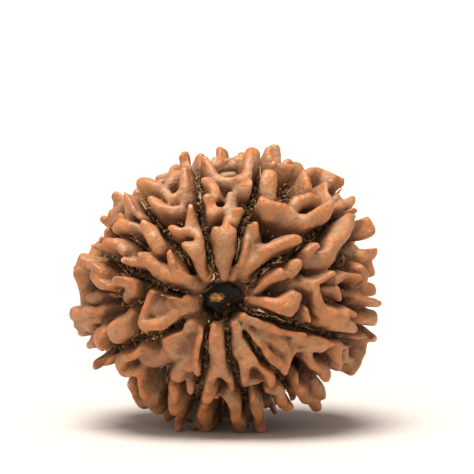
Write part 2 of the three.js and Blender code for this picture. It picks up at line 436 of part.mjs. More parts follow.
FEET.forEach(([x, y]) => {
  const tip = new THREE.Vector3(x, y, -CENTRE_HEIGHT - FOOT_PRESS);
  const root = new THREE.Vector3(x * FOOT_LEAN, y * FOOT_LEAN, -CENTRE_HEIGHT);
  crests.push({ start: FOOT_HALF_WIDTH, end: FOOT_HALF_WIDTH, points: [root, tip] });
});

// Samples of the distance from the surface, negative inside, on a block of cubes round the body; the resting
// surface lies midway between two layers of them, so that what is worn flat on it comes out flat
const reach = BODY.clone().addScalar(ROOM);
const low = [-reach.x, -reach.y, -CENTRE_HEIGHT - LAYERS_BELOW * VOXEL];
const counts = reach.toArray().map((high, n) => Math.ceil((high - low[n]) / VOXEL) + 1);
const [nx, ny, nz] = counts;
const strides = [1, nx, nx * ny];
const field = new Float32Array(nx * ny * nz);
const bentX = new Float32Array(field.length);
const bentY = new Float32Array(field.length);
const bentZ = new Float32Array(field.length);

const smoothMin = (a, b, over) => min(a, b) - (max(over - abs(a - b), 0) ** 2) / (4 * over);
const smoothMax = (a, b, over) => -smoothMin(-a, -b, over);

function bend(x, y, z) {
  const shift = [0, 0, 0];
  WAVES.forEach(([wave, phase], i) => {
    shift[i % 3] += WOBBLE * sin(wave[0] * x + wave[1] * y + wave[2] * z + phase);
  });
  return [x + shift[0], y + shift[1], z + shift[2]];
}

const here = new THREE.Vector3();
for (let k = 0, index = 0; k < nz; k += 1) {
  for (let j = 0; j < ny; j += 1) {
    for (let i = 0; i < nx; i += 1, index += 1) {
      const [x, y, z] = bend(low[0] + i * VOXEL, low[1] + j * VOXEL, low[2] + k * VOXEL);
      bentX[index] = x;
      bentY[index] = y;
      bentZ[index] = z;
      const radius = hypot(x, y, z) || VOXEL;
      field[index] = radius - floorRadius(here.set(x, y, z).divideScalar(radius));
    }
  }
}

// Calls change(index, x, y, z) for every sample in the box of some places, grown by a distance.
function near(places, distance, change) {
  const box = new THREE.Box3().setFromPoints(places).expandByScalar(distance);
  const first = box.min.toArray().map((value, n) => max(0, Math.ceil((value - low[n]) / VOXEL)));
  const last = box.max.toArray().map((value, n) => min(counts[n] - 1, Math.floor((value - low[n]) / VOXEL)));
  for (let k = first[2]; k <= last[2]; k += 1) {
    for (let j = first[1]; j <= last[1]; j += 1) {
      for (let i = first[0]; i <= last[0]; i += 1) {
        const index = i + j * strides[1] + k * strides[2];
        change(index, bentX[index], bentY[index], bentZ[index]);
      }
    }
  }
}

// Measures a sample against the stretch of a line between two points, as seen from the body's middle.
function alongLine(from, to) {
  const a = from.clone().normalize();
  const b = to.clone().normalize();
  const ab = b.clone().sub(a);
  const lengthSq = ab.lengthSq() || 1;
  const unit = new THREE.Vector3();
  const foot = new THREE.Vector3();
  return (x, y, z) => {
    const radius = hypot(x, y, z) || VOXEL;
    unit.set(x, y, z).divideScalar(radius);
    const share = clamp(foot.copy(unit).sub(a).dot(ab) / lengthSq, 0, 1);
    foot.copy(a).addScaledVector(ab, share).normalize();
    return { radius, share, aside: unit.distanceTo(foot) * radius };
  };
}

function furrow(path, depthAt, widthAt, splay) {
  for (let i = 0; i < path.length - 1; i += 1) {
    const measure = alongLine(path[i], path[i + 1]);
    const [depth, halfWidth] = [depthAt(path[i]), widthAt(path[i])];
    const ends = [path[i], path[i + 1]].flatMap((point) =>
      [-depth, FURROW_REACH].map((rise) => point.clone().multiplyScalar(floorRadius(point) + rise)));
    near(ends, FURROW_ROOM, (index, x, y, z) => {
      const { radius, aside } = measure(x, y, z);
      const rise = radius - (floorRadius(here.set(x, y, z).divideScalar(radius)) - depth);
      const cut = max(-rise, aside - halfWidth - splay * max(rise, 0));
      field[index] = smoothMax(field[index], -cut, BODY_BLEND);
    });
  }
}
function cleaveWith({ atMouth, further, splay }) {
  const { from, to } = CLEFT_WIDENS;
  const shareAt = (point) => clamp((polar(point).away - from) / (to - from), 0, 1);
  const depthAt = (point) => mix(CLEFT_DEPTH.atMouth, CLEFT_DEPTH.further, shareAt(point));
  const widthAt = (point) => mix(atMouth, further, shareAt(point));
  cleftPaths.forEach((path) => furrow(path, depthAt, widthAt, splay));
}
cleaveWith(CLEFT_IN_BODY);
FURROWS.forEach((line) => {
  const path = line.map(([x, z]) => seenAt(x, z, 0).normalize());
  furrow(path, () => FURROW_DEPTH, () => FURROW_HALF_WIDTH, CLEFT_IN_BODY.splay);
});

crests.forEach(({ start, end, points }) => {
  for (let i = 0; i < points.length - 1; i += 1) {
    const measure = alongLine(points[i], points[i + 1]);
    const tall = [points[i].length(), points[i + 1].length()];
    const wide = [i, i + 1].map((n) => mix(start, end, n / (points.length - 1)));
    const tops = [points[i], points[i + 1]];
    const roots = tops.map((point) => point.clone().setLength(point.length() - RIDGE_ROOT));
    near([...tops, ...roots], max(...wide) + RIDGE_ROOM, (index, x, y, z) => {
      const { radius, share, aside } = measure(x, y, z);
      const halfWidth = mix(wide[0], wide[1], share);
      const above = radius - (mix(tall[0], tall[1], share) - halfWidth);
      const distance = above > 0 ? hypot(aside, above) - halfWidth : aside - halfWidth + RIDGE_FLARE * above;
      field[index] = smoothMin(field[index], distance, RIDGE_BLEND);
    });
  }
});

cleaveWith(CLEFT_IN_RIDGES);

function pit(centre, depth, radii, waves) {
  const unit = centre.clone().normalize();
  const top = centre.clone().addScaledVector(unit, ROOM);
  near([centre, top], max(...radii) * 2 + depth, (index, x, y, z) => {
    here.set(x, y, z);
    const radius = here.length();
    const off = here.divideScalar(radius).sub(unit).multiplyScalar(radius);
    const [right, up] = [off.dot(RIGHT) / radii[0], off.dot(UP) / radii[1]];
    const rim = waves.reduce((sum, [n, share, phase]) => sum + share * sin(n * atan2(up, right) + phase), 1);
    const aside = (hypot(right, up) - rim) * min(...radii);
    const floor = centre.length() - depth - radius;
    field[index] = smoothMax(field[index], -max(aside, floor), BODY_BLEND);
  });
}
PITS.forEach(([x, z, radius]) => pit(seenAt(x, z, 0), PIT_DEPTH, [radius, radius], []));
pit(seenAt(0, 0, 0), MOUTH_DEPTH, [MOUTH_RADII.x, MOUTH_RADII.z], MOUTH_RAGGED);
pit(new THREE.Vector3(0, BODY.y, 0), BASE_DEPTH, [BASE_RADIUS, BASE_RADIUS], []);
field.forEach((value, index) => {
  const height = low[2] + Math.floor(index / strides[2]) * VOXEL + CENTRE_HEIGHT;
  field[index] = max(value, -height);
});

// The surface is traced through the samples by cutting each cube into six tetrahedra round its long diagonal.
const CORNER_PATHS = [[1, 3], [1, 5], [2, 3], [2, 6], [4, 5], [4, 6]];
const ALL_CORNERS = 7;
const bit = (corner, n) => (corner >> n) & 1;
const cornerStep = (corner) => strides.reduce((sum, stride, n) => sum + bit(corner, n) * stride, 0);
const sampleAt = (index) => {
  const i = index % nx;
  const j = Math.floor(index / nx) % ny;
  const k = Math.floor(index / (nx * ny));
  return [low[0] + i * VOXEL, low[1] + j * VOXEL, low[2] + k * VOXEL];
};
const points = [];
const faces = [];
const crossings = new Map();
function crossing(inner, outer) {
  const key = min(inner, outer) * field.length + max(inner, outer);
  if (!crossings.has(key)) {
    const share = clamp(field[inner] / (field[inner] - field[outer]), EDGE_ROOM, 1 - EDGE_ROOM);
    const a = sampleAt(inner);
    const b = sampleAt(outer);
    crossings.set(key, points.length);
    points.push([0, 1, 2].map((n) => mix(a[n], b[n], share)));
  }
  return crossings.get(key);
}
const minus = (a, b) => [a[0] - b[0], a[1] - b[1], a[2] - b[2]];
const dot = (a, b) => a[0] * b[0] + a[1] * b[1] + a[2] * b[2];
const cross = (a, b) => [a[1] * b[2] - a[2] * b[1], a[2] * b[0] - a[0] * b[2], a[0] * b[1] - a[1] * b[0]];
const middleOf = (samples) =>
  [0, 1, 2].map((n) => samples.reduce((sum, sample) => sum + sampleAt(sample)[n] / samples.length, 0));
function addFace(corners, outward) {
  const [a, b, c] = corners.map((n) => points[n]);
  const faceUp = dot(cross(minus(b, a), minus(c, a)), outward) > 0;
  faces.push(faceUp ? corners : [corners[0], corners[2], corners[1]]);
}
for (let k = 0; k < nz - 1; k += 1) {
  for (let j = 0; j < ny - 1; j += 1) {
    for (let i = 0; i < nx - 1; i += 1) {
      const base = i + j * strides[1] + k * strides[2];
      let inner = 0;
      for (let corner = 0; corner <= ALL_CORNERS; corner += 1) {
        inner += field[base + cornerStep(corner)] < 0 ? 1 : 0;
      }
      if (inner > 0 && inner <= ALL_CORNERS) {
        CORNER_PATHS.forEach(([one, two]) => {
          const corners = [0, one, two, ALL_CORNERS].map((corner) => base + cornerStep(corner));
          const ins = corners.filter((n) => field[n] < 0);
          const outs = corners.filter((n) => field[n] >= 0);
          if (ins.length && outs.length) {
            const outward = minus(middleOf(outs), middleOf(ins));
            if (ins.length === 2) {
              const ring = [[0, 0], [0, 1], [1, 1], [1, 0]];
              const [a, b, c, d] = ring.map(([m, n]) => crossing(ins[m], outs[n]));
              addFace([a, b, c], outward);
              addFace([a, c, d], outward);
            } else {
              addFace(ins.flatMap((m) => outs.map((n) => crossing(m, n))), outward);
            }
          }
        });
      }
    }
  }
}

// Only the seed itself is kept, not a crumb that the tracing may leave beside it.
const leader = points.map((_, n) => n);
const lead = (n) => {
  let top = n;
  while (leader[top] !== top) top = leader[top] = leader[leader[top]];
  return top;
};
faces.forEach(([a, b, c]) => {
  leader[lead(a)] = lead(c);
  leader[lead(b)] = lead(c);
});
const sizes = new Map();
faces.forEach(([a]) => sizes.set(lead(a), (sizes.get(lead(a)) || 0) + 1));
const largest = [...sizes].reduce((a, b) => (b[1] > a[1] ? b : a))[0];

const rests = (height) => height + CENTRE_HEIGHT < SNAP;
const vertices = points.map(([x, y, z]) => [x, y, rests(z) ? -CENTRE_HEIGHT : z]);
const triangles = faces.filter(([a]) => lead(a) === largest);

// Edges are drawn together, those that matter least first, until the surface has its number of triangles.
function drawTogether(goal) {
  const around = vertices.map(() => new Set());
  const alive = triangles.map(() => true);
  const errors = vertices.map(() => new Float64Array(10));
  const stamps = new Int32Array(vertices.length);
  const areaNormal = ([a, b, c]) => cross(minus(vertices[b], vertices[a]), minus(vertices[c], vertices[a]));
  const plane = (error, normal, distance, weight) => {
    const q = [...normal, distance];
    for (let m = 0, n = 0; m < 4; m += 1) {
      for (let l = m; l < 4; l += 1, n += 1) error[n] += q[m] * q[l] * weight;
    }
  };
  triangles.forEach((corners, face) => {
    corners.forEach((n) => around[n].add(face));
    const normal = areaNormal(corners);
    const twice = hypot(...normal) || 1;
    const unit = normal.map((value) => value / twice);
    corners.forEach((n) => plane(errors[n], unit, -dot(unit, vertices[n]), twice));
  });
  vertices.forEach((point, n) => {
    [[1, 0, 0], [0, 1, 0], [0, 0, 1]].forEach((axis) => plane(errors[n], axis, -dot(axis, point), EVENNESS));
  });
  const costAt = (q, [x, y, z]) =>
    q[0] * x * x + q[4] * y * y + q[7] * z * z + q[9] +
    2 * (q[1] * x * y + q[2] * x * z + q[3] * x + q[5] * y * z + q[6] * y + q[8] * z);
  const best = (q, a, b) => {
    const rows = [[q[0], q[1], q[2]], [q[1], q[4], q[5]], [q[2], q[5], q[7]]];
    const right = [-q[3], -q[6], -q[8]];
    const volume = dot(rows[0], cross(rows[1], rows[2]));
    const [bc, ca, ab] = [cross(rows[1], rows[2]), cross(rows[2], rows[0]), cross(rows[0], rows[1])];
    const middle = [0, 1, 2].map((n) => (a[n] + b[n]) / 2);
    const point = [0, 1, 2].map((n) => (right[0] * bc[n] + right[1] * ca[n] + right[2] * ab[n]) / volume);
    const length = hypot(...minus(a, b));
    const sound = abs(volume) > TINY && hypot(...minus(point, middle)) < FARTHEST * length;
    const choice = sound ? point : middle;
    return [choice[0], choice[1], max(choice[2], SNAP - CENTRE_HEIGHT)];
  };
  const heap = [];
  const push = (item) => {
    let n = heap.push(item) - 1;
    while (n > 0 && heap[(n - 1) >> 1].cost > heap[n].cost) {
      const up = (n - 1) >> 1;
      [heap[n], heap[up]] = [heap[up], heap[n]];
      n = up;
    }
  };
  const pop = () => {
    const top = heap[0];
    const item = heap.pop();
    if (heap.length) {
      heap[0] = item;
      let n = 0;
      for (;;) {
        let least = n;
        if (2 * n + 1 < heap.length && heap[2 * n + 1].cost < heap[least].cost) least = 2 * n + 1;
        if (2 * n + 2 < heap.length && heap[2 * n + 2].cost < heap[least].cost) least = 2 * n + 2;
        if (least === n) break;
        [heap[n], heap[least]] = [heap[least], heap[n]];
        n = least;
      }
    }
    return top;
  };
  const offer = (a, b) => {
    if (rests(vertices[a][2]) || rests(vertices[b][2])) return;
    const q = errors[a].map((value, n) => value + errors[b][n]);
    const point = best(q, vertices[a], vertices[b]);
    push({ cost: costAt(q, point), a, b, point, stampA: stamps[a], stampB: stamps[b] });
  };
  const neighbours = (n) => new Set([...around[n]].flatMap((face) => triangles[face]).filter((m) => m !== n));
  const keepsShape = (moving, gone, point) => [...around[moving]].every((face) => {
    const corners = triangles[face];
    if (corners.includes(gone)) return true;
    const moved = corners.map((n) => (n === moving ? point : vertices[n]));
    const before = areaNormal(corners);
    const after = cross(minus(moved[1], moved[0]), minus(moved[2], moved[0]));
    const longest = max(...[0, 1, 2].map((n) => hypot(...minus(moved[n], moved[(n + 1) % 3]))));
    const size = hypot(...after);
    return size > SLENDER * longest * longest && dot(before, after) > MOST_TURN * size * hypot(...before);
  });
  triangles.forEach(([a, b, c]) => {
    [[a, b], [b, c], [c, a]].forEach(([m, n]) => {
      if (m < n) offer(m, n);
    });
  });
  let left = triangles.length;
  while (left > goal && heap.length) {
    const { a, b, point, stampA, stampB } = pop();
    if (stamps[a] !== stampA || stamps[b] !== stampB) continue;
    const nearA = neighbours(a);
    const shared = [...neighbours(b)].filter((n) => nearA.has(n));
    if (shared.length !== 2 || !keepsShape(a, b, point) || !keepsShape(b, a, point)) continue;
    vertices[a] = point;
    errors[b].forEach((value, n) => {
      errors[a][n] += value;
    });
    around[b].forEach((face) => {
      const corners = triangles[face];
      if (corners.includes(a)) {
        alive[face] = false;
        left -= 1;
        corners.forEach((n) => n !== b && around[n].delete(face));
      } else {
        triangles[face] = corners.map((n) => (n === b ? a : n));
        around[a].add(face);
      }
    });
    around[b].clear();
    stamps[a] += 1;
    stamps[b] = -1;
    neighbours(a).forEach((n) => offer(a, n));
  }
  return triangles.filter((_, face) => alive[face]);
}
const kept = drawTogether(TRIANGLES);

const corners = kept.flat().flatMap((n) => vertices[n]);
const geometry = new THREE.BufferGeometry();
geometry.setAttribute("position", new THREE.Float32BufferAttribute(corners, 3));
geometry.translate(0, 0, CENTRE_HEIGHT);
geometry.computeBoundingBox();
const { min: least, max: most } = geometry.boundingBox;
geometry.translate(-(least.x + most.x) / 2, -(least.y + most.y) / 2, 0);
geometry.computeVertexNormals();

const nut = new THREE.MeshStandardMaterial({ color: 0x9a5a2e, roughness: 0.45, metalness: 0 });
const seed = new THREE.Mesh(geometry, nut);
seed.name = "rudraksha_seed";

const group = new THREE.Group();
group.name = "rudraksha";
group.add(seed);
export default group;
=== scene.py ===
# A rudraksha seed lying on its side: a hard woody nut with deep clefts, knobbed ridges and dry fibres.
# Its surface is grown by the same rules as the solid model, through finer samples, and stands for that node.
import math

import bpy
import numpy as np
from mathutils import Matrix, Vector


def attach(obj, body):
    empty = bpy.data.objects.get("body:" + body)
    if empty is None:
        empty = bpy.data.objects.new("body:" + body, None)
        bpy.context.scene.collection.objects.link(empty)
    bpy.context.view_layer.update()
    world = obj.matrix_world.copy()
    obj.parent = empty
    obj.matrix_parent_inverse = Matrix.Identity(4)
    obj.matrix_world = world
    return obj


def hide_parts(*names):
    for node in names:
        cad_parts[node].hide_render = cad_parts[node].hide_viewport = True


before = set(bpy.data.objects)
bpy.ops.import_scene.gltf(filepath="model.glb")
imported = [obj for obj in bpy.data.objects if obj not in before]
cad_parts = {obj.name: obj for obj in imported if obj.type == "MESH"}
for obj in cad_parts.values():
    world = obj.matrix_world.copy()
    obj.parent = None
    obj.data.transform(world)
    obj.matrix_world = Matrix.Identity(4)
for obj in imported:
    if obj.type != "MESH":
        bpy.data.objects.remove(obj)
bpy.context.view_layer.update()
MM = 0.001

# Driving dimensions, in millimetres and radians
BODY = np.array([9.6, 8.2, 9.0])  # semi-axes of the lobes' floor, which the ridges stand on
GROUND = -10.7  # level of the resting surface, from the middle of the body
MIDDLE = (-0.079, 0.119)  # of the seed's box, from the middle of the body
FLOOR_DROP = 1.05  # how far the hollows between ridges lie below the laid-out floor
CLEFT_DEPTH = (1.4, 0.8)  # below the hollows, at the mouth and further on
CLEFT_IN_BODY = (0.22, 0.34, 0.1)  # half-width at the mouth, further on, and growth for each mm of height
CLEFT_IN_RIDGES = (0.2, 0.25, 0.01)  # narrower, where ridges lean in over it
CLEFT_WIDENS = (0.22, 0.7)  # radians from the axis
RIDGE_FLARE = 0.14  # how much a ridge's half-width grows for each millimetre below its crest
RIDGE_ROOT = 3.6  # how far below its crest a ridge is still felt
RIDGE_REACH = 0.8  # and beyond its half-width
RIDGE_BLEND = 0.2  # over which a ridge rounds into its ground
BODY_BLEND = 0.2  # and a cut into what it goes through
FUNNEL_DEPTH = 0.5  # of the wide dip at both ends of the axis
FUNNEL_ANGLE = 0.3
MOUTH_RADII = (1.6, 1.3)
MOUTH_RAGGED = [(3, 0.1, 0.8), (5, 0.07, 2.4), (8, 0.05, 4.0)]  # waves of its rim: count, share, phase
MOUTH_DEPTH = 2.9
BASE_RADIUS = 0.9  # of the pit at the far end, where the stalk was
BASE_DEPTH = 1.1
FOOT_PRESS = 0.52  # how far below the resting surface a foot would end if it weren't worn flat
WOBBLE = 0.11  # how far WAVES bend the surface
ROOM = 3.2  # above the lobes' floor, for the tallest knobs
FURROW_DEPTH = 0.7
FURROW_HALF_WIDTH = 0.3
FURROW_REACH = 3.6  # how high above the floor furrows and clefts cut
FURROW_ASIDE = 1.2
CLEFT_STEP = 0.12  # in radians, as the next
CLEFT_END = 0.16  # from the far end of the axis
PIT_DEPTH = 1.7
FAR_LOBES = [5, 6, 3, 7, 9, 8, 2, 1, 0, 4]  # whose ridges each lobe carries on its far end
FAR_FROM = math.radians(80)
FAR_SLIP = 0.08  # how far they are shifted, in radians
FAR_SWELL = 0.3
DRIFT = 0.14  # how far, in radians, clefts stray from the laid-out lines beyond the part that is seen
DRIFT_FROM = math.radians(74)
DRIFT_TURNS = 3
KNOB_TRIALS = 3000  # for knobs that fill gaps
KNOB_BAND = (0.35, -0.93)  # cosines of their angles from the axis
KNOB_ROOM = 1.35  # to the next ridge
KNOB_CLEFT_ROOM = 0.95
KNOB_LENGTH = (0.5, 1.6)
KNOB_HALF_WIDTH = (0.33, 0.5)
KNOB_HEIGHT = (1.7, 2.3)
FEET = [[-3.2, -2.9], [-1.5, -2.8], [1.1, -3.2], [2.7, -2.9], [-3, 2.6], [-1.2, 3.4], [1.4, 3]]
FOOT_HALF_WIDTH = 0.6
FOOT_LEAN = 0.85  # how far out a foot's root is, as a share of its tip's place
WAVES = [
    ([0.7, 1.1, 0.5], 0.3), ([1.9, -0.6, 1.3], 1.9), ([-0.8, 0.9, 1.6], 4.1),
    ([2.3, 1.7, -1.2], 2.6), ([-1.4, 2.4, 0.9], 5.2), ([1.1, -1.8, 2.5], 0.9),
]
VOXEL = 0.17  # side of a sample
FLAT_SNAP = 0.3  # points less than this share of a sample above the resting surface lie on it
SURFACE_TRIANGLES = 190000
SURFACE_FEEL = [("bulge", 0.42, 0.3), ("wide", 0.95, 0.5)]  # name, reach, depth that counts as 1
FEEL_LIMIT = 1.5
MOUTH_FADE = (0.15, 0.4)  # how far beyond its rim the mouth's painted shade ends, and over how much

# The near end is laid out as it is seen from a little above and from a little to the right of the axis.
SEEN_FROM_RIGHT = math.radians(2.1)
SEEN_FROM_ABOVE = math.radians(6)
BODY_SEEN_AT = (0.35, 1.0)  # from the mouth's centre
RIGHT = np.array([math.cos(SEEN_FROM_RIGHT), math.sin(SEEN_FROM_RIGHT), 0])
INWARD = np.array([
    -math.sin(SEEN_FROM_RIGHT) * math.cos(SEEN_FROM_ABOVE),
    math.cos(SEEN_FROM_RIGHT) * math.cos(SEEN_FROM_ABOVE),
    -math.sin(SEEN_FROM_ABOVE),
])
UP = np.cross(RIGHT, INWARD)

# Clefts, clockwise round the mouth from the top, each as [x, z] from the mouth's centre in the view
CLEFTS = [
  [[-0.55, 1.7], [-0.8, 3], [-1, 4.4], [-1.3, 5.8], [-1.4, 7], [-1.6, 8], [-1.75, 9], [-1.8, 10]],
  [[0.9, 2.8], [1.2, 4], [1.5, 5.3], [2, 6.5], [2.3, 7.6], [2.8, 8.8], [3, 10], [3.15, 10.9]],
  [[2.2, 1.4], [3, 2.2], [4.2, 3], [5.4, 3.8], [6.2, 4.5], [7, 5.3], [7.8, 6], [8.4, 6.5], [9, 7.2]],
  [[1.9, -0.7], [3.2, -1.1], [5, -1.45], [6.2, -1.6], [7.2, -2.1], [8.4, -2.5], [9.6, -2.6], [10.8, -2.3]],
  [[1.7, -2.1], [2.4, -3.2], [3.2, -4.1], [4.1, -5.1], [4.8, -6.2], [5.4, -7]],
  [[0.3, -1.7], [0.6, -3], [1, -4.5], [1.4, -5.8], [1.7, -7], [1.9, -8.4]],
  [[-0.8, -1.8], [-0.95, -3], [-1.1, -4.6], [-1.3, -5.7], [-1.75, -6.8], [-1.95, -8]],
  [[-2.6, -1.4], [-3.8, -1.9], [-5.2, -2.5], [-6.3, -2.8], [-7.2, -3.3], [-8.2, -3.8], [-9.2, -4.1]],
  [[-2.6, 0.6], [-4, 1.2], [-5.6, 1.8], [-6.8, 2.3], [-7.8, 2.8], [-8.6, 3.3]],
  [[-1.95, 2.2], [-2.75, 3.5], [-3.55, 4.5], [-4.4, 5.5], [-5.1, 6.4], [-5.5, 7.4], [-5.7, 8.5]],
]

# Shallower furrows across lobes
FURROWS = [
  [[1.8, 5.9], [3.2, 6.1], [4.2, 5.6], [5.6, 5.3], [7, 5]],
  [[-3.5, 4.8], [-3.2, 6.3], [-2.9, 6.9]],
  [[3.5, 0.9], [4.5, 0.6], [5.5, 0.9]],
]

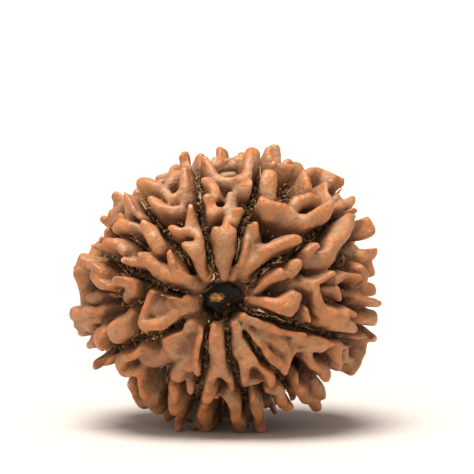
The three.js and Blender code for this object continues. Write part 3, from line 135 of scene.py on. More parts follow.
# Ridges by lobe: [half-width at its start, at its end, points of its crest as [x, z, height above the floor]]
LOBES = [[  # Top
  [0.35, 1, [0.05, 1.9, 0.7], [0.1, 3.1, 1.3], [0.2, 4.3, 1.8], [0.2, 4.9, 2]],
  [0.5, 0.4, [0.1, 4.6, 2.1], [-0.55, 5.3, 2.2]],
  [0.5, 0.4, [0.3, 4.6, 2.1], [0.95, 5.3, 2.2]],
  [0.3, 0.25, [0.4, 5.5, 2.2], [0.75, 6.3, 1.8], [0.85, 7.2, 1.9], [0.75, 8.2, 1.8]],
  [0.5, 0.5, [1.2, 6.2, 1.8], [1.45, 7, 2.4]],
  [0.45, 0.4, [-0.8, 6.8, 2.1], [-0.1, 7.15, 2], [0.6, 7.3, 1.9]],
  [0.4, 0.35, [-0.75, 7.2, 2], [-0.9, 8, 2.3]],
  [0.4, 0.35, [-0.1, 7.8, 1.8], [-0.6, 8.7, 2.2], [-1.15, 9.5, 2.6]],
  [0.35, 0.5, [-1.4, 11, 2.5], [-0.9, 10.2, 2.2], [-0.3, 9.6, 2], [0.5, 9.3, 2]],
  [0.42, 0.5, [0.5, 9.3, 2], [1.3, 9.3, 2.1], [2, 9.7, 2.2], [2.3, 10.6, 2.4], [2.35, 11.4, 2.5]],
  [0.55, 0.5, [1.2, 8.6, 1.7], [2.1, 8.8, 1.9]],
  [0.3, 0.3, [0.2, 9.8, 1.6], [0.9, 9.95, 1.7]],
  [0.4, 0.4, [-0.3, 10.4, 1.6], [-0.2, 10.9, 1.9]],
  [0.5, 0.5, [1, 10.6, 1.6], [1.3, 11, 1.9]],
], [  # Upper right
  [0.3, 0.4, [0.9, 1.9, 0.7], [1.35, 2.9, 1.3], [1.7, 3.9, 1.8], [1.95, 4.8, 2.1]],
  [0.55, 0.4, [2.4, 4.7, 1.8], [2.65, 5.3, 2.2], [2.65, 5.8, 2.5]],
  [0.4, 0.55, [1.8, 2.1, 0.9], [2.5, 3, 1.5], [3.5, 3.85, 1.9], [4.6, 4.5, 2.2], [5.6, 4.9, 2.4]],
  [0.75, 0.5, [2.1, 3.3, 1.3], [2.9, 4.2, 1.7]],
  [0.4, 0.42, [3.1, 7.8, 2.3], [3.7, 7.3, 2.2], [4.7, 7, 2.1], [5.3, 6.5, 2.1], [6.2, 6.2, 2.2]],
  [0.42, 0.43, [6.2, 6.2, 2.2], [7.1, 6.4, 2.3], [7.9, 6.8, 2.3], [8.4, 7.5, 2.3]],
  [0.43, 0.45, [8.4, 7.5, 2.3], [8.3, 8.3, 2.3], [8.3, 9, 2.5]],
  [0.5, 0.5, [3.6, 6.7, 1.6], [5, 6.3, 1.3], [6.5, 5.9, 1.3], [7.6, 6.2, 1.6]],
  [0.4, 0.4, [5.6, 7, 2], [6, 7.7, 2.2], [6.8, 8, 2.3], [7.3, 7.8, 2.1]],
  [0.55, 0.6, [3.75, 8.2, 1.8], [3.8, 9, 2.2], [3.8, 9.7, 2.5]],
  [0.4, 0.4, [3.8, 10.6, 2.3], [4.6, 10.3, 2.1], [5.6, 10.2, 2.1], [6.3, 9.9, 2.2], [6.5, 9.2, 2.2]],
  [0.4, 0.4, [6.5, 9.2, 2.2], [6.7, 8.8, 2.2]],
  [0.45, 0.4, [6.6, 10, 2], [7.4, 10.1, 2.2], [8.2, 9.7, 2.3], [9.3, 9.25, 2.6]],
  [0.35, 0.3, [8.8, 9.4, 2.2], [8.9, 8.7, 2.2]],
  [0.42, 0.42, [3.8, 11, 2], [3.85, 11.7, 2.5]],
  [0.42, 0.42, [4.25, 11, 2], [4.25, 11.9, 2.7]],
  [0.4, 0.38, [9.1, 7.1, 1.9], [9.7, 7.6, 2.1], [10.2, 8.1, 2.5]],
  [0.4, 0.4, [8.9, 8.1, 2], [9.3, 7.9, 2]],
], [  # Right
  [0.35, 0.5, [2.6, 1.2, 0.9], [3.4, 1.6, 1.5], [4.1, 2, 2], [4.7, 2.25, 2.2]],
  [0.35, 0.33, [5.3, 2.3, 1.8], [5.85, 2.85, 2.2]],
  [0.4, 0.55, [2.3, 0.2, 0.9], [3.4, 0, 1.6], [4.5, -0.35, 2], [5.3, -0.5, 2.1], [5.8, -0.2, 2.1]],
  [0.35, 0.35, [4.8, 0.15, 1.8], [5.5, 0.4, 1.9], [6.1, 0.2, 1.9]],
  [0.25, 0.2, [6.45, -0.6, 1.7], [6.75, -1.35, 2.1]],
  [0.6, 0.5, [5.6, 1.4, 1.5], [6.5, 1.4, 1.6], [7.1, 0.9, 1.6]],
  [0.3, 0.28, [6.9, 1.5, 1.7], [7.8, 1.85, 1.9], [8.8, 2.5, 2.2]],
  [0.45, 0.5, [7.3, 0.2, 1.7], [7.8, -0.6, 2], [8.7, -1, 2.2], [9.5, -1.1, 2.3]],
  [0.5, 0.45, [7.9, -1.5, 1.9], [9, -1.7, 2.1], [10.4, -2, 2.3]],
  [0.25, 0.25, [9.8, -0.7, 2.1], [10.2, -1, 2.3]],
  [0.3, 0.3, [7.9, 0.8, 1.6], [8.7, 0.7, 1.7], [9.1, 0.3, 1.7]],
  [0.45, 0.45, [8.8, 1.6, 1.7], [9.6, 1.9, 1.9], [10.5, 1.7, 2]],
  [0.35, 0.35, [10.6, 2.6, 1.9], [11.1, 2.1, 2], [11, 1.4, 1.9]],
  [0.6, 0.45, [10.4, 0.3, 1.7], [11.2, 0.3, 2.1], [12.2, -0.1, 2.5]],
  [0.45, 0.4, [10.8, -1.35, 1.8], [12.1, -1.4, 2.4]],
  [0.45, 0.35, [6.6, 3.7, 1.8], [7.3, 4.2, 2.2]],
  [0.45, 0.5, [6.7, 3.2, 1.4], [7.6, 3.2, 1.6], [8.3, 3.4, 1.8]],
  [0.65, 0.8, [8.45, 3.3, 1.9], [8.95, 4.5, 2.1], [9.45, 5.5, 2.2], [10.1, 6.5, 2.2]],
  [0.4, 0.42, [10.4, 6.8, 2.3], [11, 6.3, 2.3], [11.6, 5.4, 2.4], [12, 4.5, 2.5]],
  [0.42, 0.45, [12, 4.5, 2.5], [11.8, 3.7, 2.3], [11, 3.4, 2]],
  [0.33, 0.33, [9.4, 3, 1.9], [9.85, 3.1, 2.2]],
  [0.45, 0.45, [11.5, 2.9, 1.9], [11.8, 2.3, 2.1]],
  [0.8, 0.8, [9.8, 3.9, 1.2], [11, 3.9, 1.5]],
  [0.8, 0.8, [9.8, 0.9, 1.1], [11.2, 0.9, 1.5]],
  [0.7, 0.7, [10.2, 5.4, 1.3], [11.1, 5.2, 1.6]],
], [  # Lower right
  [0.35, 0.4, [1.6, -1.2, 0.8], [2.9, -1.6, 1.4], [4.4, -1.95, 1.8], [5.6, -2.1, 2.1], [6.5, -2.35, 2.4]],
  [0.3, 0.4, [1.8, -1.9, 0.8], [2.9, -3.3, 1.5], [3.9, -4.5, 1.8], [4.8, -5.4, 2.1]],
  [0.7, 0.6, [3.2, -2.4, 1.2], [4.4, -3, 1.5], [4.8, -3.7, 1.6]],
  [0.25, 0.3, [5, -5, 1.9], [5.2, -4.3, 1.9], [5.8, -3.75, 1.9], [6.8, -3.8, 1.9]],
  [0.4, 0.6, [5.6, -2.9, 1.6], [6.6, -2.9, 1.9], [7.5, -3.1, 2.1], [8.5, -3.2, 2.3]],
  [0.5, 0.5, [6.9, -3.6, 1.9], [8, -3.7, 2]],
  [0.3, 0.25, [8.95, -3.2, 2], [8.9, -4, 2.1], [9.1, -4.8, 2.3]],
  [0.45, 0.4, [6.7, -4.3, 1.6], [7.2, -5, 1.8], [8.2, -5.75, 2.2]],
  [0.45, 0.45, [5.9, -5.8, 1.6], [6.2, -6.9, 1.9], [6.8, -7.7, 2.1], [7.5, -8.2, 2.5]],
  [0.35, 0.4, [6.8, -5.8, 1.4], [7.4, -6.7, 1.8], [7.8, -7.4, 2.2]],
  [0.55, 0.65, [4.4, -6.7, 1.5], [4.85, -7.5, 1.9], [5.3, -8.2, 2.2]],
  [0.45, 0.45, [9.4, -3.4, 1.8], [10.3, -3.2, 2], [11.1, -2.8, 2.2]],
  [0.3, 0.25, [11.2, -2.7, 2.1], [12, -2.9, 2.5]],
  [0.4, 0.4, [11.2, -3.2, 2.1], [11, -4.1, 2.1], [10.6, -5.2, 2.2], [10.3, -5.6, 2.4]],
  [0.5, 0.5, [9.6, -4, 1.6], [9.9, -5, 1.8], [10.2, -5.5, 2.1]],
  [0.5, 0.5, [8.6, -4.9, 1.5], [9.3, -5.3, 1.8]],
], [  # Narrow lobe right of the bottom
  [0.35, 1.15, [0.95, -1.8, 0.8], [1.45, -2.9, 1.2], [1.95, -3.9, 1.5], [2.4, -4.6, 1.7]],
  [0.45, 0.35, [1.9, -4.7, 1.8], [1.8, -5.6, 1.9], [1.95, -6.3, 1.8]],
  [0.55, 0.45, [3, -4.6, 1.8], [3.5, -5.4, 1.9], [3.8, -6.2, 1.9]],
  [0.3, 0.3, [2, -6.3, 1.6], [2.5, -6.1, 1.6], [2.9, -6.3, 1.5]],
  [0.3, 0.3, [2.35, -7.4, 1.8], [2.7, -6.9, 1.8], [3.3, -6.8, 1.7], [4, -7, 1.6]],
  [0.45, 0.5, [2.6, -7.8, 1.8], [2.6, -8.6, 2], [2.7, -9.3, 2.2]],
], [  # Bottom
  [0.35, 1.05, [-0.3, -1.9, 0.8], [-0.2, -3, 1.2], [-0.1, -4.2, 1.5], [0, -5.1, 1.7]],
  [0.5, 0.4, [-0.4, -5.3, 1.8], [-0.75, -6.1, 1.9], [-0.85, -6.8, 1.8]],
  [0.5, 0.4, [0.4, -5.3, 1.8], [0.8, -6, 1.9], [1, -6.8, 1.8]],
  [0.35, 0.4, [-0.7, -6.9, 1.7], [-1.15, -7.8, 2.2]],
  [0.5, 0.5, [0.6, -7.4, 1.7], [1, -8.3, 2.1], [1.4, -9.8, 2.3]],
  [0.45, 0.45, [-1.2, -8.2, 1.7], [-1.25, -9.5, 2.1]],
  [0.4, 0.4, [-0.4, -7.4, 1.4], [0.3, -7.6, 1.4]],
], [  # Lower left
  [0.35, 0.4, [-1.9, -1.9, 0.8], [-2.4, -1.85, 1.2], [-3.3, -2.3, 1.6], [-4.4, -2.8, 1.9]],
  [0.6, 0.6, [-3, -2.9, 1.3], [-4, -3.3, 1.5]],
  [0.35, 0.5, [-1.4, -2.2, 0.8], [-1.6, -3, 1.3], [-1.7, -4.2, 1.7], [-1.65, -5.3, 2]],
  [0.9, 0.9, [-3, -4.2, 1.2], [-4.6, -4.2, 1.3], [-5.8, -4.6, 1.4]],
  [0.4, 0.45, [-5.6, -3.7, 1.5], [-6.5, -3.6, 1.9], [-7.3, -4.15, 2.2], [-8.1, -4.75, 2.4]],
  [0.4, 0.4, [-8, -5, 2.1], [-7.6, -5.55, 2], [-7, -5.3, 1.8]],
  [0.25, 0.35, [-6.5, -5.3, 1.8], [-6.35, -6.4, 1.9], [-5.95, -7.3, 2], [-5.5, -8.2, 2.1]],
  [0.45, 0.45, [-6.9, -6.2, 1.5], [-6.6, -7.4, 1.7], [-6.1, -8.4, 1.9]],
  [0.45, 0.5, [-3.8, -6.9, 1.6], [-3.75, -7.8, 2], [-3.5, -8.5, 2.2]],
  [0.35, 0.35, [-2.5, -6.2, 1.6], [-2.4, -6.9, 2]],
  [0.55, 0.55, [-5.2, -7.6, 1.7], [-5.1, -8.6, 2]],
  [0.5, 0.5, [-5.9, -6.9, 1.5], [-5.6, -8, 1.8]],
  [0.4, 0.45, [-3.1, -8.9, 1.9], [-3, -9.8, 2.3]],
  [0.45, 0.45, [-4.4, -8.8, 1.6], [-4.3, -9.3, 1.9]],
  [0.4, 0.35, [-8.7, -4.6, 1.7], [-9.8, -5.1, 2.4]],
  [0.5, 0.5, [-3, -5.2, 1.4], [-3.5, -5.9, 1.5]],
  [0.5, 0.65, [-2.2, -2.6, 0.9], [-2.4, -3.9, 1.2], [-2.6, -5.1, 1.5]],
], [  # Wide fan on the left
  [0.3, 0.3, [-2.1, 0.1, 0.8], [-3.3, 0.4, 1.5], [-4.3, 0.8, 1.9], [-5, 1.1, 2.1]],
  [0.35, 0.4, [-2.2, -0.6, 0.8], [-3.6, -1.05, 1.5], [-4.8, -1.65, 1.9], [-6, -2.05, 2.1]],
  [0.5, 1.1, [-2.6, -0.25, 0.8], [-3.4, -0.3, 1.05], [-4.3, -0.4, 1.3], [-5, -0.5, 1.45]],
  [0.3, 0.3, [-5.2, 0.9, 1.9], [-5.75, -0.4, 1.7], [-6.15, -1.8, 1.9]],
  [0.45, 0.5, [-7.3, 0.2, 1.3], [-7, 1.1, 1.8], [-7.3, 1.6, 2.2], [-8, 1.65, 2.4]],
  [0.4, 0.45, [-6.9, -0.9, 1.5], [-7.9, -1.6, 2.1], [-8.6, -2.15, 2.3], [-8.2, -2.9, 2.2]],
  [0.5, 0.5, [-7.4, -1.6, 1.8], [-7.7, -2.6, 2]],
  [0.35, 0.35, [-9.1, -2.3, 2], [-9.55, -2.7, 2.1], [-9.5, -3.6, 2]],
  [0.45, 0.45, [-10.8, 3.4, 2.2], [-11.1, 2.3, 2.2], [-11, 1, 1.9], [-10.7, 0, 1.7]],
  [0.4, 0.35, [-10.4, 3, 2.1], [-9.6, 2.7, 2], [-9, 2.2, 1.8]],
  [0.3, 0.3, [-9.7, 2, 1.8], [-9.1, 1.4, 1.8], [-8.6, 1.1, 1.7]],
  [0.45, 0.45, [-9.4, 0.4, 1.3], [-10.3, 0.3, 1.6]],
  [0.35, 0.45, [-9.2, -0.8, 1.6], [-10.4, -0.9, 2], [-11.5, -1.1, 2.5]],
  [0.3, 0.35, [-9.4, -1.6, 1.7], [-10.5, -1.75, 2], [-11.2, -1.8, 2.3]],
  [0.3, 0.35, [-10, -2.2, 1.8], [-11, -2.5, 2.2]],
  [0.4, 0.35, [-9.9, -3, 1.7], [-10.2, -3.7, 2]],
], [  # Upper left
  [0.35, 0.6, [-1.9, 1.2, 0.7], [-2.6, 2, 1.4], [-3.1, 2.6, 1.8]],
  [0.6, 0.35, [-3.1, 2.6, 1.8], [-3.5, 3.1, 2.1], [-3.85, 3.6, 2.3]],
  [0.35, 0.4, [-2.4, 1.4, 1], [-3.3, 1.9, 1.5], [-4.4, 2.25, 1.8], [-5.2, 2.6, 2]],
  [0.4, 0.28, [-5.3, 2.6, 2], [-5.7, 3.1, 2.2], [-5.95, 3.6, 2.4]],
  [0.35, 0.3, [-6, 3, 2], [-6.7, 3.2, 2.1], [-7.3, 3.4, 2.3]],
  [0.65, 0.28, [-4.85, 4.3, 1.9], [-5.1, 5, 2.2], [-5.5, 5.5, 2.3], [-5.9, 5.9, 2.4]],
  [0.45, 0.5, [-7.4, 4, 1.7], [-8.2, 4.5, 2.1], [-8.9, 4.5, 2.2]],
  [0.35, 0.2, [-9.2, 4.35, 2], [-9.95, 4.45, 2.5]],
  [0.3, 0.2, [-9.2, 5, 1.8], [-9.05, 5.6, 2.1]],
  [0.4, 0.3, [-6.2, 6.7, 1.8], [-6.6, 7.3, 2.2], [-7, 7.9, 2.5]],
  [0.4, 0.35, [-7.1, 6.8, 1.6], [-7.2, 8.4, 2.5]],
  [0.4, 0.45, [-6.2, 5.3, 1.3], [-7, 5.7, 1.8], [-7.9, 6.1, 2], [-8.25, 5.8, 2]],
  [0.4, 0.4, [-5.6, 7, 1.6], [-6.2, 7.3, 1.7]],
], [  # Left of the top
  [0.3, 0.75, [-1.15, 1.8, 0.7], [-1.5, 3, 1.4], [-1.95, 4.1, 1.9]],
  [0.5, 0.35, [-2, 3.8, 1.8], [-2.65, 4.2, 1.9]],
  [0.5, 0.35, [-1.7, 4.3, 1.9], [-1.5, 4.9, 2.1], [-2, 5.4, 2.1], [-2.5, 5.7, 2.1]],
  [0.7, 0.3, [-2.3, 5.7, 1.8], [-2.25, 6.4, 2.2], [-2.3, 7.1, 2.6]],
  [0.35, 0.35, [-2.5, 5.7, 2], [-3.2, 5.5, 2.1], [-3.9, 5.75, 2.3]],
  [0.6, 0.42, [-2.6, 7.9, 1.8], [-2.6, 8.8, 2.2], [-2.75, 9.9, 2.7]],
  [0.4, 0.5, [-2.8, 8.5, 2], [-3.8, 8, 2], [-4.3, 8.5, 2.1], [-4.8, 8.8, 2.3], [-6, 9.15, 2.6]],
  [0.45, 0.4, [-3, 7.1, 1.8], [-4, 7, 2], [-4.7, 7.25, 2.2], [-5.3, 7.85, 2.6]],
  [0.3, 0.3, [-5.2, 7.6, 2.2], [-4.9, 6.8, 1.8]],
  [0.6, 0.6, [-2.75, 10.6, 1.9], [-2.85, 11.3, 2.5]],
  [0.6, 0.6, [-3.7, 9.9, 1.8], [-3.9, 9.3, 1.8]],
]]

# Pits in the hollows between ridges, each as [x, z, radius]
PITS = [
  [-7.4, 4.9, 0.55], [0.1, 6.4, 0.35], [0.3, -6.6, 0.45],
  [2.4, -5.5, 0.45], [5.6, -4.7, 0.55], [7.4, 2.4, 0.4],
  [8, 2.65, 0.35], [8.3, 1.25, 0.45], [8.5, -0.05, 0.4], [9.6, 0.6, 0.5], [5, 8.6, 0.5],
  [10.3, 4.1, 0.6], [7, 7.1, 0.4],
]

# Colours
NUT = (0.38, 0.138, 0.038)
NUT_RED = (0.42, 0.142, 0.038)
NUT_DARK = (0.21, 0.08, 0.032)
# painted light: the top of the seed is made paler, as the overhead lamp would light it
PAINTED_TOP_LIGHT = (0.78, 0.44, 0.25)
SHADED = (0.22, 0.078, 0.024)
TIP = (0.55, 0.175, 0.042)
DUST = (0.52, 0.28, 0.12)
DUST_GREY = (0.35, 0.205, 0.098)
# painted highlight on the sharp crests of the ridges
PAINTED_RIM_HIGHLIGHT = (0.97, 0.66, 0.47)
# painted shade on the low flanks of the ridges, standing in for occlusion
PAINTED_FLANK_SHADE = (0.17, 0.062, 0.023)
# painted shade at the bottom of the hollows between ridges
PAINTED_HOLLOW_SHADE = (0.12, 0.052, 0.024)
# painted shade deep in the clefts
PAINTED_CLEFT_SHADE = (0.15, 0.076, 0.036)
# painted shade inside the mouth's deep hole
PAINTED_MOUTH_SHADE = (0.022, 0.012, 0.007)
PITH = (0.72, 0.36, 0.11)
PITH_DARK = (0.16, 0.07, 0.03)
CRUMB_COLOURS = ((0.50, 0.27, 0.12), (0.09, 0.046, 0.024))
FLOOR = (0.70, 0.635, 0.58)

# Fibres and crumbs that lie in the clefts and hollows
WALK = (12.6, 4.0)  # radii between which the surface is looked for
WALK_NEAR = 0.02
WALK_STEP = 0.03
SEEDS = {"knobs": 20117, "fibres": 977, "crumbs": 551, "pith": 4211}
CLUMPS = [
    [-1.8, 8.6], [0.3, 8.1], [2.3, 8.1], [5, 7.9], [7.3, 7.2], [4.9, 7.5], [6.3, 4.3], [-3.4, 6.1],
    [9.6, 4.6], [-6.2, 4.2], [8.3, 1.4], [-9, 2.1], [3.6, 9.1], [-5.4, 7.2],
]
FAR_CLUMPS = 26
IN_CLUMPS = 0.3  # share of the debris that lies in clumps
CLUMP_SPREAD = 0.07
IN_CLEFTS = 0.72  # share of the rest that lies along clefts, and not in any hollow
CLEFT_SPREAD = 0.55
CLEFT_CROWDING = 1.1  # toward the mouth
CLEFT_SHARE = [2.3, 2.4, 1.1, 0.8, 0.6, 0.7, 0.7, 0.8, 1.0, 1.5]
DEBRIS_REACH = 2.0  # how high above the floor it lies
FIBRES = {  # trials, radius, how near the mouth's axis they come, and their light and dark colours
    "straw": (11000, (0.035, 0.09), 1.7, (0.97, 0.66, 0.34), (0.45, 0.22, 0.08)),
    "dark": (9500, (0.03, 0.065), 0.3, (0.30, 0.16, 0.07), (0.08, 0.045, 0.024)),
}
FIBRE_LENGTH = (0.25, 1.3)
FIBRE_TAPER = 0.7
FIBRE_FLATNESS = 0.6
FIBRE_LIFT = (0.0, 0.5)  # above the surface
FIBRE_STEPS = 6
FIBRE_SETTLING = 4  # moves onto the surface before the first point
FIBRE_MOVE = 0.12  # the most in one of them
FIBRE_OVERHANG = 0.7  # how much higher than other debris its end may be
FIBRES_ALONG = 0.6  # share that follows the cleft, but for a small turn
FIBRE_TURN = 0.9
ANY_TURN = 3.1
FIBRE_BEND = 0.35
FIBRE_WANDER = 0.2
FIBRE_ABOVE_GROUND = 0.1
CRUMBS = 17000
CRUMB_SIZE = (0.04, 0.16)
CRUMB_UNEVEN = (0.6, 1.3)
CRUMB_ABOVE_GROUND = 0.01
PACKED = 14000  # crumbs packed between the walls of the clefts
PACKED_SIZE = (0.06, 0.2)
PACK_TOP = 1.1  # above the laid-out floor, and how far down they go from there
PACK_DEPTH = 1.8
PACK_ASIDE = 0.12
PACK_GAP = (-0.05, 0.4)  # how near and how far a wall may be
PITH_LUMPS = [  # x, z, half its width, half its height, shade
    (-0.45, 0.25, 0.55, 0.32, 1.0), (0.1, 0.35, 0.16, 0.12, 0.4),
    (-0.95, -0.1, 0.16, 0.12, 0.4), (0.6, -0.4, 0.12, 0.08, 0.4),
]
PITH_GRID = (14, 20)  # rows and columns of faces on a lump
PITH_THICK = 0.35
PITH_DEPTH = 1.3

# View and light
CAMERA_DISTANCE = 300.0
CAMERA_FILM = 36
CAMERA_REACH = 50  # in metres
PICTURE_WIDTH = 36.24  # at the seed
PICTURE_CENTRE = (1.185, 4.855)  # from the mouth's centre
FLOOR_CORNERS = [(-3, -2, 0), (3, -2, 0), (3, 6, 0), (-3, 6, 0)]  # in metres
ROOM_LIGHT = (1.0, 0.985, 0.97)
ROOM_STRENGTH = 0.32
LAMPS = [  # name, direction, strength, angle in degrees, colour
    ("overhead", (-0.1, -0.16, 1.0), 4.6, 36, (1.0, 0.98, 0.95)),
    ("front_fill", (-0.35, -1.0, 0.6), 0.5, 70, (1.0, 0.98, 0.96)),
]


class Draws:
    """Repeatable draws, as in the solid model."""

    FACTOR, COUNT = 16807, 2147483647

    def __init__(self, start):
        self.state = start

    def __call__(self, low=0.0, high=1.0):
        self.state = (self.state * self.FACTOR) % self.COUNT
        return low + (high - low) * (self.state / self.COUNT)


draw = Draws(SEEDS["knobs"])


def mix(a, b, share):
    return a + (b - a) * share


def norm(v):
    return np.linalg.norm(v, axis=-1)


def unit(v):
    return v / norm(v)[..., None]


def floor_radius(direction):
    radius = 1 / np.sqrt(((direction / BODY) ** 2).sum(-1))
    from_axis = np.arccos(np.minimum(np.abs(direction[..., 1]), 1))
    return radius - FLOOR_DROP - FUNNEL_DEPTH * np.exp(-((from_axis / FUNNEL_ANGLE) ** 2))


def seen_at(x, z, height):
    """The point, from the body's middle, that the view shows at (x, z) on a body grown by a height."""
    point = RIGHT * (x - BODY_SEEN_AT[0]) + UP * (z - BODY_SEEN_AT[1])
    semi = BODY + height
    start, step = point / semi, INWARD / semi
    a, b, c = step @ step, start @ step, start @ start - 1
    inside = b * b - a * c
    return point + INWARD * ((-b - math.sqrt(inside)) / a) if inside > 0 else point


def polar(point):
    d = unit(point)
    return math.acos(min(max(-d[1], -1), 1)), math.atan2(d[2], d[0])


def toward(away, around):
    return np.array([math.sin(away) * math.cos(around), -math.cos(away), math.sin(away) * math.sin(around)])


def cleft_line(line):
    away, around = zip(*(polar(seen_at(x, z, 0)) for x, z in line))
    return away, np.unwrap(around)


CLEFT_LINES = [cleft_line(line) for line in CLEFTS]


def cleft_round(index, away):
    """Where a cleft is round the axis. The far half mirrors the near one, but for its drift."""
    stray = DRIFT * math.sin(DRIFT_TURNS * max(away - DRIFT_FROM, 0)) * (1 if index % 2 else -1)
    return np.interp(min(away, math.pi - away), *CLEFT_LINES[index]) + stray


def lobe_width(lobe, away):
    first = cleft_round(lobe, away)
    second = cleft_round((lobe + 1) % len(CLEFTS), away)
    return first, (first - second) % math.tau


def lay_out():
    """Crests of all the ridges, each as (half-width at its start, at its end, points)."""
    crests = []
    for ridges in LOBES:
        for start, end, *line in ridges:
            crests.append((start, end, [seen_at(*spot) for spot in line]))
    for lobe, source in enumerate(FAR_LOBES):
        for start, end, *line in LOBES[source]:
            slip = FAR_SLIP * (draw() - 0.5)
            swell = 1 + FAR_SWELL * (draw() - 0.5)
            found = [(*polar(seen_at(*spot)), spot[2]) for spot in line]
            if any(away > FAR_FROM for away, _, _ in found):
                continue
            points = []
            for away, around, height in found:
                first, width = lobe_width(source, away)
                share = math.remainder(first - around, math.tau) / width
                far_away = math.pi - away + slip
                far_first, far_width = lobe_width(lobe, far_away)
                direction = toward(far_away, far_first - far_width * share)
                points.append(direction / norm(direction / (BODY + height)))
            crests.append((start * swell, end * swell, points))
    paths = []
    for index in range(len(CLEFTS)):
        steps = np.arange(CLEFT_LINES[index][0][0], math.pi - CLEFT_END, CLEFT_STEP)
        paths.append(np.array([toward(away, cleft_round(index, away)) for away in steps]))
    spots = []
    for _, _, points in crests:
        for point, after in zip(points, [*points[1:], points[-1]]):
            spots.extend(unit(mix(point, after, share)) for share in (0, 1 / 3, 2 / 3))
    cleft_spots = unit(np.concatenate(paths))
    for _ in range(KNOB_TRIALS):
        away = math.acos(mix(*KNOB_BAND, draw()))
        around = math.tau * draw()
        heading = math.tau * draw()
        length, half_width, height = draw(*KNOB_LENGTH), draw(*KNOB_HALF_WIDTH), draw(*KNOB_HEIGHT)
        direction = toward(away, around)
        radius = floor_radius(direction)
        if any(norm(np.array(others) - direction).min() * radius <= room
               for others, room in ((spots, KNOB_ROOM), (cleft_spots, KNOB_CLEFT_ROOM))):
            continue
        turn = length / radius * 0.5
        ends = []
        for part in (-turn, turn):
            end = toward(away + part * math.cos(heading), around + part * math.sin(heading) / math.sin(away))
            ends.append(end * (floor_radius(end) + height))
        crests.append((half_width, half_width, ends))
        spots.extend(unit(end) for end in ends)
    for x, y in FEET:
        root = np.array([x * FOOT_LEAN, y * FOOT_LEAN, GROUND])
        tip = np.array([x, y, GROUND - FOOT_PRESS])
        crests.append((FOOT_HALF_WIDTH, FOOT_HALF_WIDTH, [root, tip]))
    return crests, paths


def smooth_min(a, b, over):
    return np.minimum(a, b) - np.maximum(over - np.abs(a - b), 0) ** 2 / (4 * over)


def smooth_max(a, b, over):
    return -smooth_min(-a, -b, over)


